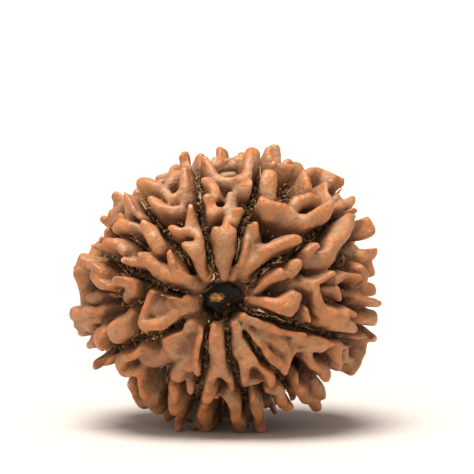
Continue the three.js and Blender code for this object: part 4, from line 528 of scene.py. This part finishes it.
class Block:
    """Samples of the distance from the surface, negative inside, on a block of cubes round the body."""

    def __init__(self):
        high = BODY + ROOM
        self.low = np.array([-high[0], -high[1], GROUND - 1.5 * VOXEL])
        self.count = np.ceil((high - self.low) / VOXEL).astype(int) + 1
        axes = [self.low[n] + VOXEL * np.arange(self.count[n]) for n in range(3)]
        grid = np.stack(np.meshgrid(*axes, indexing="ij"), -1)
        self.height = grid[..., 2] - GROUND
        bent = grid.copy()
        for n, (wave, phase) in enumerate(WAVES):
            bent[..., n % 3] += WOBBLE * np.sin(grid @ np.array(wave) + phase)
        self.radius = np.maximum(norm(bent), 1e-6)
        self.toward = bent / self.radius[..., None]
        self.floor = floor_radius(self.toward)
        self.field = self.radius - self.floor

    def near(self, points, reach):
        low = np.min(points, axis=0) - reach
        high = np.max(points, axis=0) + reach
        first = np.maximum(np.ceil((low - self.low) / VOXEL).astype(int), 0)
        last = np.minimum(np.floor((high - self.low) / VOXEL).astype(int) + 1, self.count)
        return tuple(slice(a, max(a, b)) for a, b in zip(first, last))

    def along(self, place, start, end):
        a, b = unit(start), unit(end)
        ab = b - a
        directions = self.toward[place]
        share = np.clip((directions - a) @ ab / max(ab @ ab, 1e-12), 0, 1)
        foot = unit(a + share[..., None] * ab)
        return share, norm(directions - foot) * self.radius[place]

    def ridge(self, start, end, points):
        for i, (a, b) in enumerate(zip(points, points[1:])):
            roots = [p * (1 - RIDGE_ROOT / norm(p)) for p in (a, b)]
            wide = [mix(start, end, n / (len(points) - 1)) for n in (i, i + 1)]
            place = self.near([a, b, *roots], max(wide) + RIDGE_REACH)
            share, aside = self.along(place, a, b)
            half_width = mix(wide[0], wide[1], share)
            tall = mix(norm(a), norm(b), share)
            above = self.radius[place] - (tall - half_width)
            flank = aside - half_width + RIDGE_FLARE * above
            blade = np.where(above > 0, np.hypot(aside, above) - half_width, flank)
            self.field[place] = smooth_min(self.field[place], blade, RIDGE_BLEND)

    def furrow(self, path, depths, half_widths, splay):
        for a, b, depth, half_width in zip(path, path[1:], depths, half_widths):
            ends = [p * (floor_radius(p) + rise) for p in (a, b) for rise in (-depth, FURROW_REACH)]
            place = self.near(ends, FURROW_ASIDE)
            _, aside = self.along(place, a, b)
            rise = self.radius[place] - self.floor[place] + depth
            cut = np.maximum(-rise, aside - half_width - splay * np.maximum(rise, 0))
            self.field[place] = smooth_max(self.field[place], -cut, BODY_BLEND)

    def cleave(self, paths, at_mouth, further, splay):
        low, high = CLEFT_WIDENS
        for path in paths:
            share = np.clip((np.arccos(-path[:, 1]) - low) / (high - low), 0, 1)
            self.furrow(path, mix(*CLEFT_DEPTH, share), mix(at_mouth, further, share), splay)

    def pit(self, centre, depth, radii, waves=()):
        place = self.near([centre, centre * (1 + ROOM / norm(centre))], max(radii) * 2 + depth)
        off = (self.toward[place] - unit(centre)) * self.radius[place][..., None]
        x, z = off @ RIGHT / radii[0], off @ UP / radii[1]
        angle = np.arctan2(z, x)
        rim = 1 + sum(share * np.sin(count * angle + phase) for count, share, phase in waves)
        aside = (np.hypot(x, z) - rim) * min(radii)
        floor = norm(centre) - depth - self.radius[place]
        self.field[place] = smooth_max(self.field[place], -np.maximum(aside, floor), BODY_BLEND)

    def sample(self, values, points):
        """Values at points, from the eight samples round each."""
        at = (points - self.low) / VOXEL
        base = np.clip(np.floor(at).astype(int), 0, self.count - 2)
        part = at - base
        out = 0
        for corner in np.ndindex(2, 2, 2):
            weight = np.prod(np.where(corner, part, 1 - part), axis=1)
            out = out + weight * values[tuple((base + corner).T)]
        return out

    def surface(self):
        """A closed quad surface with one point in each cube that the surface passes through."""
        inside = self.field < 0
        cells = np.zeros(self.count - 1, int)
        corners = list(np.ndindex(2, 2, 2))

        def at(corner, array):
            return array[tuple(slice(c, c + n) for c, n in zip(corner, self.count - 1))]
        for corner in corners:
            cells += at(corner, inside)
        active = (cells > 0) & (cells < 8)
        number = np.full(active.shape, -1)
        number[active] = np.arange(active.sum())
        base = np.argwhere(active)
        total, crossings = np.zeros((len(base), 3)), np.zeros(len(base))
        for one in corners:
            for axis in range(3):
                if one[axis]:
                    continue
                two = tuple(c + (n == axis) for n, c in enumerate(one))
                a, b = at(one, self.field)[active], at(two, self.field)[active]
                crosses = (a < 0) != (b < 0)
                share = np.where(crosses, a / np.where(crosses, a - b, 1), 0)
                point = base + np.array(one) + share[:, None] * (np.array(two) - np.array(one))
                total += point * crosses[:, None]
                crossings += crosses
        points = self.low + VOXEL * total / crossings[:, None]
        quads = []
        for axis in range(3):
            u, v = (axis + 1) % 3, (axis + 2) % 3
            low = [slice(1, -1)] * 3
            low[axis] = slice(0, -1)
            high = list(low)
            high[axis] = slice(1, None)
            a, b = inside[tuple(low)], inside[tuple(high)]
            for rising in (True, False):
                spots = np.argwhere((a & ~b) if rising else (~a & b)) + [int(n != axis) for n in range(3)]
                ring = []
                for du, dv in ((1, 1), (0, 1), (0, 0), (1, 0)):
                    cell = spots.copy()
                    cell[:, u] -= du
                    cell[:, v] -= dv
                    ring.append(number[tuple(cell.T)])
                quads.append(np.stack(ring if rising else ring[::-1], 1))
        return points, np.concatenate(quads)


def grow():
    block = Block()
    crests, paths = lay_out()
    block.cleave(paths, *CLEFT_IN_BODY)
    for line in FURROWS:
        path = [unit(seen_at(x, z, 0)) for x, z in line]
        block.furrow(path, [FURROW_DEPTH] * len(path), [FURROW_HALF_WIDTH] * len(path), CLEFT_IN_BODY[2])
    for crest in crests:
        block.ridge(*crest)
    block.cleave(paths, *CLEFT_IN_RIDGES)
    for x, z, radius in PITS:
        block.pit(seen_at(x, z, 0), PIT_DEPTH, (radius, radius))
    block.pit(seen_at(0, 0, 0), MOUTH_DEPTH, MOUTH_RADII, MOUTH_RAGGED)
    block.pit(np.array([0, BODY[1], 0]), BASE_DEPTH, (BASE_RADIUS, BASE_RADIUS))
    block.field = np.maximum(block.field, -block.height)
    return block, paths


def largest_part(count, faces):
    """Which points belong to the largest connected part."""
    label = np.arange(count)
    while True:
        low = label[faces].min(axis=1)
        new = label.copy()
        for column in faces.T:
            np.minimum.at(new, column, low)
        new = new[new]
        if (new == label).all():
            break
        label = new
    return label == np.bincount(label).argmax()


def to_frame(points):
    """From the body's middle, in millimetres, to the frame, in metres."""
    return (points - [*MIDDLE, GROUND]) * MM


def from_frame(points):
    return points / MM + [*MIDDLE, GROUND]


def add_piece(name, points, faces, material, smooth=True):
    mesh = bpy.data.meshes.new(name)
    mesh.from_pydata(points, [], faces, shade_flat=not smooth)
    mesh.validate()
    mesh.materials.append(material)
    piece = bpy.data.objects.new(name, mesh)
    bpy.context.collection.objects.link(piece)
    return piece


def add_attribute(mesh, name, values):
    attribute = mesh.attributes.new(name, "FLOAT", "POINT")
    attribute.data.foreach_set("value", values.astype(np.float32))


def blurred(values, steps):
    """Mean over a cube of samples that reaches steps to each side."""
    for axis in range(3):
        before = np.repeat(values.take([0], axis), steps + 1, axis)
        after = np.repeat(values.take([-1], axis), steps, axis)
        total = np.cumsum(np.concatenate([before, values, after], axis), axis)
        count = values.shape[axis]
        width = 2 * steps + 1
        values = (total.take(range(width, width + count), axis) - total.take(range(count), axis)) / width
    return values


class Shader:
    """A node material under construction, with short names for the nodes that it uses most."""

    def __init__(self, name):
        self.material = bpy.data.materials.new(name)
        self.material.use_nodes = True
        self.nodes = self.material.node_tree.nodes
        self.links = self.material.node_tree.links
        self.surface = self.nodes["Principled BSDF"].inputs
        self.place = self.nodes.new("ShaderNodeTexCoord").outputs["Object"]
        parts = self.nodes.new("ShaderNodeSeparateXYZ")
        self.put(self.place, parts.inputs[0])
        self.level = parts.outputs[2]

    def put(self, value, socket):
        if isinstance(value, bpy.types.NodeSocket):
            self.links.new(value, socket)
        else:
            socket.default_value = value

    def noise(self, per_mm, detail=3.0, rough=0.55):
        node = self.nodes.new("ShaderNodeTexNoise")
        self.links.new(self.place, node.inputs["Vector"])
        for name, value in (("Scale", per_mm / MM), ("Detail", detail), ("Roughness", rough)):
            node.inputs[name].default_value = value
        return node.outputs["Fac"]

    def attribute(self, name):
        node = self.nodes.new("ShaderNodeAttribute")
        node.attribute_name = name
        return node.outputs["Fac"]

    def sums(self, operation, a, b):
        node = self.nodes.new("ShaderNodeMath")
        node.operation = operation
        self.put(a, node.inputs[0])
        self.put(b, node.inputs[1])
        return node.outputs[0]

    def times(self, a, b):
        return self.sums("MULTIPLY", a, b)

    def plus(self, a, b):
        return self.sums("ADD", a, b)

    def span(self, value, low, high, to_low=0.0, to_high=1.0):
        node = self.nodes.new("ShaderNodeMapRange")
        node.interpolation_type = "SMOOTHSTEP"
        for number, socket in zip((value, low, high, to_low, to_high), node.inputs):
            self.put(number, socket)
        return node.outputs[0]

    def mixed(self, share, a, b):
        node = self.nodes.new("ShaderNodeMix")
        node.data_type = "RGBA"
        self.put(share, node.inputs["Factor"])
        for value, socket in ((a, node.inputs[6]), (b, node.inputs[7])):
            self.put((*value, 1) if isinstance(value, tuple) else value, socket)
        return node.outputs[2]

    def bump(self, height, distance, strength, before=None):
        node = self.nodes.new("ShaderNodeBump")
        node.inputs["Distance"].default_value = distance * MM
        node.inputs["Strength"].default_value = strength
        self.put(height, node.inputs["Height"])
        if before is not None:
            self.links.new(before, node.inputs["Normal"])
        return node.outputs["Normal"]

    def finish(self, colour, roughness, specular):
        self.put(colour, self.surface["Base Color"])
        self.put(roughness, self.surface["Roughness"])
        self.surface["Specular IOR Level"].default_value = specular
        return self.material


def nut_shader():
    """Wood whose colour follows the shape: red on tips and dusty on flanks, with painted light: a paler top,
    a painted highlight on rims, and painted shade toward the bottom, on low flanks, in hollows, deep in
    clefts and in the mouth.
    """
    s = Shader("nut")
    bulge, wide, rise, cleft, mouth = map(s.attribute, ("bulge", "wide", "rise", "cleft", "mouth"))
    blotch, dents = s.noise(0.35, 4.0), s.noise(1.1, 2.0, 0.5)
    grain, speck = s.noise(2.2, 5.0, 0.6), s.noise(5.0, 3.0, 0.7)
    grey = s.mixed(s.span(s.noise(0.8, 3.0), 0.4, 0.6), DUST, DUST_GREY)
    dusty = s.times(s.span(bulge, 0.8, 0.1), s.span(grain, 0.34, 0.56))
    # how deep a place lies among the ridges, which sets the painted shade on flanks and in hollows
    hollow = s.plus(s.plus(wide, s.times(rise, 0.35)), s.plus(grain, -0.5))
    # nearness to a cleft's middle, for the painted shade in the clefts
    inside = s.span(s.plus(cleft, s.times(s.plus(speck, -0.5), 0.5)), 0.6, 0.15)
    wood = s.mixed(s.span(blotch, 0.3, 0.7), NUT, NUT_RED)
    for share, colour in (
        # painted light: paler toward the top
        (s.span(s.level, 12 * MM, 20 * MM, 0.0, 0.5), PAINTED_TOP_LIGHT),
        (s.span(s.level, 12 * MM, 2 * MM, 0.0, 0.6), SHADED),
        (s.times(s.span(grain, 0.42, 0.66), 0.4), NUT_DARK),
        (s.times(s.span(wide, 0.3, 0.85), s.span(dents, 0.62, 0.4, 0.1, 1.0)), TIP),
        (s.times(dusty, s.span(blotch, 0.35, 0.6, 0.35, 0.9)), grey),
        # painted highlight on sharp crests
        (s.times(s.span(bulge, 0.75, 1.4), s.span(blotch, 0.25, 0.75, 0.4, 0.9)), PAINTED_RIM_HIGHLIGHT),
        (s.span(speck, 0.55, 0.8, 0.0, 0.5), NUT_DARK),
        # painted shade, darker the lower a flank lies
        (s.span(hollow, 1.7, 0.6, 0.0, 0.9), PAINTED_FLANK_SHADE),
        # painted shade in the deepest hollows
        (s.span(hollow, 0.95, 0.05), PAINTED_HOLLOW_SHADE),
        # painted shade, darker deeper in a cleft
        (s.times(inside, s.span(rise, 1.2, -0.2)), PAINTED_CLEFT_SHADE),
        # painted shade in the mouth
        (s.times(mouth, s.span(grain, 0.3, 0.5, 0.75, 1.0)), PAINTED_MOUTH_SHADE),
    ):
        wood = s.mixed(share, wood, colour)
    s.surface["Coat Weight"].default_value = 0.25
    s.surface["Coat Roughness"].default_value = 0.3
    ripples = s.bump(dents, 0.22, 0.7, s.bump(blotch, 0.4, 0.6))
    s.put(s.bump(speck, 0.06, 0.9, s.bump(grain, 0.16, 0.9, ripples)), s.surface["Normal"])
    polish = s.plus(s.span(bulge, 0.0, 1.0, 0.6, 0.28), s.times(grain, 0.12))
    return s.finish(wood, polish, 0.5)


def fibre_shader(name, light, dark):
    s = Shader(name)
    worn = s.times(s.attribute("shade"), s.span(s.noise(3.5), 0.38, 0.55, 0.3, 1.0))
    return s.finish(s.mixed(worn, dark, light), s.plus(s.times(s.noise(4.0), 0.2), 0.55), 0.3)


def paper_shader():
    s = Shader("paper")
    return s.finish(s.mixed(s.times(s.noise(0.02), 0.04), FLOOR, tuple(0.9 * c for c in FLOOR)), 0.9, 0.1)


def cleft_gap(points, paths):
    """Distance from points, in millimetres, to the middle plane of the nearest cleft."""
    directions, radius = unit(points), norm(points)
    least = np.full(len(points), np.inf)
    for path in paths:
        for a, b in zip(path, path[1:]):
            ab = b - a
            share = np.clip((directions - a) @ ab / (ab @ ab), 0, 1)
            aside = norm(directions - unit(a + share[:, None] * ab))
            least = np.minimum(least, aside * radius)
    return least


def mouth_gap(points):
    """Distance from points, in millimetres, to the axis of the mouth, or far for the seed's other end."""
    axis = unit(seen_at(0, 0, 0))
    along = points @ axis
    return np.where(along > 0, norm(points - along[..., None] * axis), np.inf)


def build_seed(block, paths):
    points, quads = block.surface()
    kept = largest_part(len(points), quads)
    number = np.cumsum(kept) - 1
    quads = number[quads[kept[quads[:, 0]]]]
    points = points[kept]
    resting = points[:, 2] < GROUND + FLAT_SNAP * VOXEL
    points[resting, 2] = GROUND
    seed = add_piece("seed_surface", to_frame(points), quads, nut_shader())
    triangles = 2 * len(quads)
    if triangles > SURFACE_TRIANGLES:
        lighter = seed.modifiers.new("lighter", "DECIMATE")
        lighter.ratio = SURFACE_TRIANGLES / triangles
        bpy.context.view_layer.objects.active = seed
        seed.select_set(True)
        bpy.ops.object.modifier_apply(modifier="lighter")
        seed.select_set(False)
    mesh = seed.data
    placed = np.empty(len(mesh.vertices) * 3, np.float32)
    mesh.vertices.foreach_get("co", placed)
    points = from_frame(placed.reshape(-1, 3).astype(float))
    for name, reach, full in SURFACE_FEEL:
        steps = max(1, round(reach / VOXEL))
        soft = blurred(blurred(np.clip(block.field, -FEEL_LIMIT, FEEL_LIMIT), steps), steps)
        add_attribute(mesh, name, block.sample(soft, points) / full)
    add_attribute(mesh, "rise", block.sample(block.radius - block.floor, points))
    add_attribute(mesh, "cleft", cleft_gap(points, paths))
    beyond, over = MOUTH_FADE
    add_attribute(mesh, "mouth", np.clip((MOUTH_RADII[0] + beyond - mouth_gap(points)) / over, 0, 1))
    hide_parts("rudraksha_seed")
    return seed


def surface_radius(block, direction):
    """Where the surface lies in each direction, walking in from outside."""
    start, end = WALK
    radius = np.full(len(direction), start)
    going = np.ones(len(direction), bool)
    while going.any() and radius.min() > end:
        value = block.sample(block.field, np.clip(direction * radius[:, None], block.low, None))
        going &= value > WALK_NEAR
        radius = np.where(going, radius - np.maximum(value / 2, WALK_STEP), radius)
    return radius


def outward(block, points):
    """The direction in which the distance from the surface grows fastest."""
    slope = np.empty_like(points)
    for axis in range(3):
        step = np.zeros(3)
        step[axis] = VOXEL
        slope[:, axis] = block.sample(block.field, points + step) - block.sample(block.field, points - step)
    return unit(slope + 1e-9)


def along_clefts(paths, which, random, crowding=1.0):
    """For each cleft, which places it has, then directions to them and along it."""
    for index, path in enumerate(paths):
        mine = which == index
        at = random.random(mine.sum()) ** crowding * (len(path) - 1.001)
        i = at.astype(int)
        yield mine, unit(mix(path[i], path[i + 1], (at - i)[:, None])), unit(path[i + 1] - path[i])


def debris_spots(block, paths, random, count):
    """Places on the surface, low in clefts and hollows, with the direction along the nearest cleft."""
    shares = np.array(CLEFT_SHARE) / sum(CLEFT_SHARE)
    which = random.choice(len(paths), count, p=shares)
    directions, along = np.empty((count, 3)), np.empty((count, 3))
    for mine, middle, ahead in along_clefts(paths, which, random, CLEFT_CROWDING):
        across = unit(np.cross(middle, ahead))
        aside = random.normal(0, CLEFT_SPREAD / BODY.mean(), len(middle))[:, None]
        directions[mine], along[mine] = unit(middle + across * aside), ahead
    anywhere = random.random(count) > IN_CLEFTS
    directions[anywhere] = unit(random.normal(size=(anywhere.sum(), 3)))
    clumps = [unit(seen_at(x, z, 0)) for x, z in CLUMPS]
    clumps += list(unit(random.normal(size=(FAR_CLUMPS, 3))))
    clumped = random.random(count) < IN_CLUMPS
    middles = np.array(clumps)[random.integers(0, len(clumps), count)]
    directions[clumped] = unit(middles + random.normal(0, CLUMP_SPREAD, (count, 3)))[clumped]
    radius = surface_radius(block, directions)
    low = radius - floor_radius(directions) < DEBRIS_REACH * random.random(count) ** 0.5
    return (directions * radius[:, None])[low], along[low]


def repeated(faces, count, step):
    """The same faces for each of many bodies, which have step points each."""
    return (np.array(faces)[None] + step * np.arange(count)[:, None, None]).reshape(-1, len(faces[0]))


def rings(points, radius):
    """Triangular tubes round lines of points, thinner toward both ends."""
    count, steps = points.shape[:2]
    ahead = unit(np.gradient(points, axis=1) + 1e-9)
    u = unit(np.cross(ahead, unit(points)) + 1e-9)
    v = np.cross(ahead, u)
    share = np.linspace(-1, 1, steps)[None, :, None]
    thin = radius[:, None, None] * (1 - FIBRE_TAPER * share ** 2)
    turns = [math.tau * n / 3 for n in range(3)]
    around = [points + thin * (u * math.cos(turn) + FIBRE_FLATNESS * v * math.sin(turn)) for turn in turns]
    faces = [[0, 2, 1], [3 * steps - 3, 3 * steps - 2, 3 * steps - 1]]
    for i in range(steps - 1):
        for n in range(3):
            a, b = 3 * i + n, 3 * i + (n + 1) % 3
            faces += [[a, b, b + 3], [a, b + 3, a + 3]]
    return np.stack(around, 2).reshape(-1, 3), repeated(faces, count, 3 * steps)


def build_fibres(block, paths):
    made = []
    for number, (kind, (trials, radii, clear, light, dark)) in enumerate(FIBRES.items()):
        random = np.random.default_rng(SEEDS["fibres"] + number)
        place, along = debris_spots(block, paths, random, trials)
        count = len(place)
        side = unit(np.cross(along, place))
        follows = random.random(count) < FIBRES_ALONG
        small, any_turn = random.normal(0, FIBRE_TURN, count), random.uniform(-ANY_TURN, ANY_TURN, count)
        turn = np.where(follows, small, any_turn)
        heading = along * np.cos(turn)[:, None] + side * np.sin(turn)[:, None]
        bend = random.normal(0, FIBRE_BEND, count)[:, None]
        length = random.uniform(*FIBRE_LENGTH, count)[:, None]
        lift = random.uniform(*FIBRE_LIFT, count)
        line = []
        for step in range(-FIBRE_SETTLING, FIBRE_STEPS + 1):
            normal = outward(block, place)
            move = np.clip(lift - block.sample(block.field, place), -FIBRE_MOVE, FIBRE_MOVE)
            place = place + normal * move[:, None]
            if step < 0:
                continue
            line.append(place)
            wander = random.normal(0, FIBRE_WANDER, (count, 3))
            heading = unit(heading + bend * np.cross(heading, normal) + wander)
            place = place + heading * length / FIBRE_STEPS
        line = np.stack(line, 1)
        rise = norm(line) - floor_radius(unit(line))
        low = rise.max(1) < DEBRIS_REACH + FIBRE_OVERHANG
        line = line[low & (mouth_gap(line).min(1) > clear)]
        line[..., 2] = np.maximum(line[..., 2], GROUND + FIBRE_ABOVE_GROUND)
        points, faces = rings(line, random.uniform(*radii, len(line)))
        material = fibre_shader(f"fibre_{kind}", light, dark)
        piece = add_piece(f"fibres_{kind}", to_frame(points), faces, material)
        add_attribute(piece.data, "shade", np.repeat(random.random(len(line)), 3 * (FIBRE_STEPS + 1)))
        made.append(piece)
    return made


def packed_spots(block, paths, random, count):
    """Places between the walls of the clefts, up to where dried pulp fills them."""
    which = random.integers(0, len(paths), count)
    middle = np.empty((count, 3))
    for mine, directions, _ in along_clefts(paths, which, random):
        middle[mine] = directions
    middle = unit(middle + random.normal(0, PACK_ASIDE / BODY.mean(), (count, 3)))
    top = PACK_TOP * np.clip((np.arccos(-middle[:, 1]) - FUNNEL_ANGLE) / FUNNEL_ANGLE, 0, 1)
    place = middle * (floor_radius(middle) + top - PACK_DEPTH * random.random(count) ** 1.5)[:, None]
    gap = block.sample(block.field, place)
    return place[(gap > PACK_GAP[0]) & (gap < PACK_GAP[1])]


def build_crumbs(block, paths):
    """Grains of dried pulp in the clefts and hollows, each an uneven eight-sided lump."""
    random = np.random.default_rng(SEEDS["crumbs"])
    strewn, _ = debris_spots(block, paths, random, CRUMBS)
    packed = packed_spots(block, paths, random, PACKED)
    place = np.concatenate([strewn, packed])
    count = len(place)
    sizes = [random.uniform(*CRUMB_SIZE, len(strewn)), random.uniform(*PACKED_SIZE, len(packed))]
    size = np.concatenate(sizes)[:, None, None] * random.uniform(*CRUMB_UNEVEN, (count, 6, 1))
    ends = np.concatenate([np.eye(3), -np.eye(3)])
    frames = unit(random.normal(size=(count, 3, 3)))
    frames[:, 1] = unit(np.cross(frames[:, 0], frames[:, 1]))
    frames[:, 2] = np.cross(frames[:, 0], frames[:, 1])
    points = (place[:, None] + size * np.einsum("ij,njk->nik", ends, frames)).reshape(-1, 3)
    points[:, 2] = np.maximum(points[:, 2], GROUND + CRUMB_ABOVE_GROUND)
    faces = [[0, 1, 2], [0, 5, 1], [0, 2, 4], [0, 4, 5], [3, 2, 1], [3, 1, 5], [3, 4, 2], [3, 5, 4]]
    material = fibre_shader("crumb", *CRUMB_COLOURS)
    piece = add_piece("crumbs", to_frame(points), repeated(faces, count, len(ends)), material, smooth=False)
    add_attribute(piece.data, "shade", np.repeat(random.random(count) ** 1.5, len(ends)))
    return piece


def build_pith():
    """The pale, crumbled pith in the mouth: a few lumps, one large."""
    roll = Draws(SEEDS["pith"])
    rows, columns = PITH_GRID
    lat, lon = np.meshgrid(
        math.pi * ((np.arange(rows + 1) + 0.5) / (rows + 1) - 0.5),
        math.tau * np.arange(columns) / columns, indexing="ij")
    ball = np.stack([np.cos(lat) * np.cos(lon), np.cos(lat) * np.sin(lon), np.sin(lat)], -1).reshape(-1, 3)
    x_on, y_on, z_on = ball.T
    points, shades = [], []
    for x, z, wide, tall, shade in PITH_LUMPS:
        centre = seen_at(x, z, 0)
        centre = centre * (1 - PITH_DEPTH / norm(centre))
        phases = [roll(0, 6.28) for _ in range(6)]
        swell = 1 + 0.16 * np.sin(7 * x_on + phases[0]) * np.sin(6 * z_on + phases[1])
        swell += 0.12 * np.sin(13 * y_on + 9 * x_on + phases[2]) + 0.07 * np.sin(21 * z_on + phases[3])
        lump = ball * [wide, PITH_THICK, tall] @ np.array([RIGHT, INWARD, UP])
        points.append(centre + swell[:, None] * lump)
        shades += [shade] * len(ball)
    faces = []
    for a in range(rows * columns):
        b = a + 1 if (a + 1) % columns else a + 1 - columns
        faces.append([a, b, b + columns, a + columns])
    faces = repeated(faces, len(PITH_LUMPS), len(ball))
    piece = add_piece("pith", to_frame(np.concatenate(points)), faces, fibre_shader("pith", PITH, PITH_DARK))
    add_attribute(piece.data, "shade", np.array(shades))
    return piece


def set_stage():
    corners, face = np.array(FLOOR_CORNERS, float), np.array([[0, 1, 2, 3]])
    add_piece("floor", corners, face, paper_shader(), smooth=False)
    world = bpy.data.worlds.new("room")
    bpy.context.scene.world = world
    world.use_nodes = True
    background = world.node_tree.nodes["Background"]
    background.inputs[0].default_value = (*ROOM_LIGHT, 1)
    background.inputs[1].default_value = ROOM_STRENGTH
    for name, direction, strength, angle, colour in LAMPS:
        light = bpy.data.lights.new(name, "SUN")
        light.energy = strength
        light.angle = math.radians(angle)
        light.color = colour
        lamp = bpy.data.objects.new(name, light)
        lamp.rotation_euler = Vector(direction).to_track_quat("Z", "Y").to_euler()
        bpy.context.collection.objects.link(lamp)


def set_camera():
    data = bpy.data.cameras.new("camera")
    data.sensor_width = CAMERA_FILM
    data.lens = CAMERA_FILM * CAMERA_DISTANCE / PICTURE_WIDTH
    data.clip_end = CAMERA_REACH
    camera = bpy.data.objects.new("camera", data)
    look = RIGHT * (PICTURE_CENTRE[0] - BODY_SEEN_AT[0]) + UP * (PICTURE_CENTRE[1] - BODY_SEEN_AT[1])
    camera.location = Vector(to_frame(look - INWARD * CAMERA_DISTANCE))
    camera.rotation_euler = Vector(-INWARD).to_track_quat("Z", "Y").to_euler()
    bpy.context.collection.objects.link(camera)
    bpy.context.scene.camera = camera
    bpy.context.scene.view_settings.view_transform = "Standard"


set_camera()
set_stage()
block, paths = grow()
pieces = [build_seed(block, paths), *build_fibres(block, paths), build_crumbs(block, paths), build_pith()]
for piece in pieces:
    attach(piece, "root")
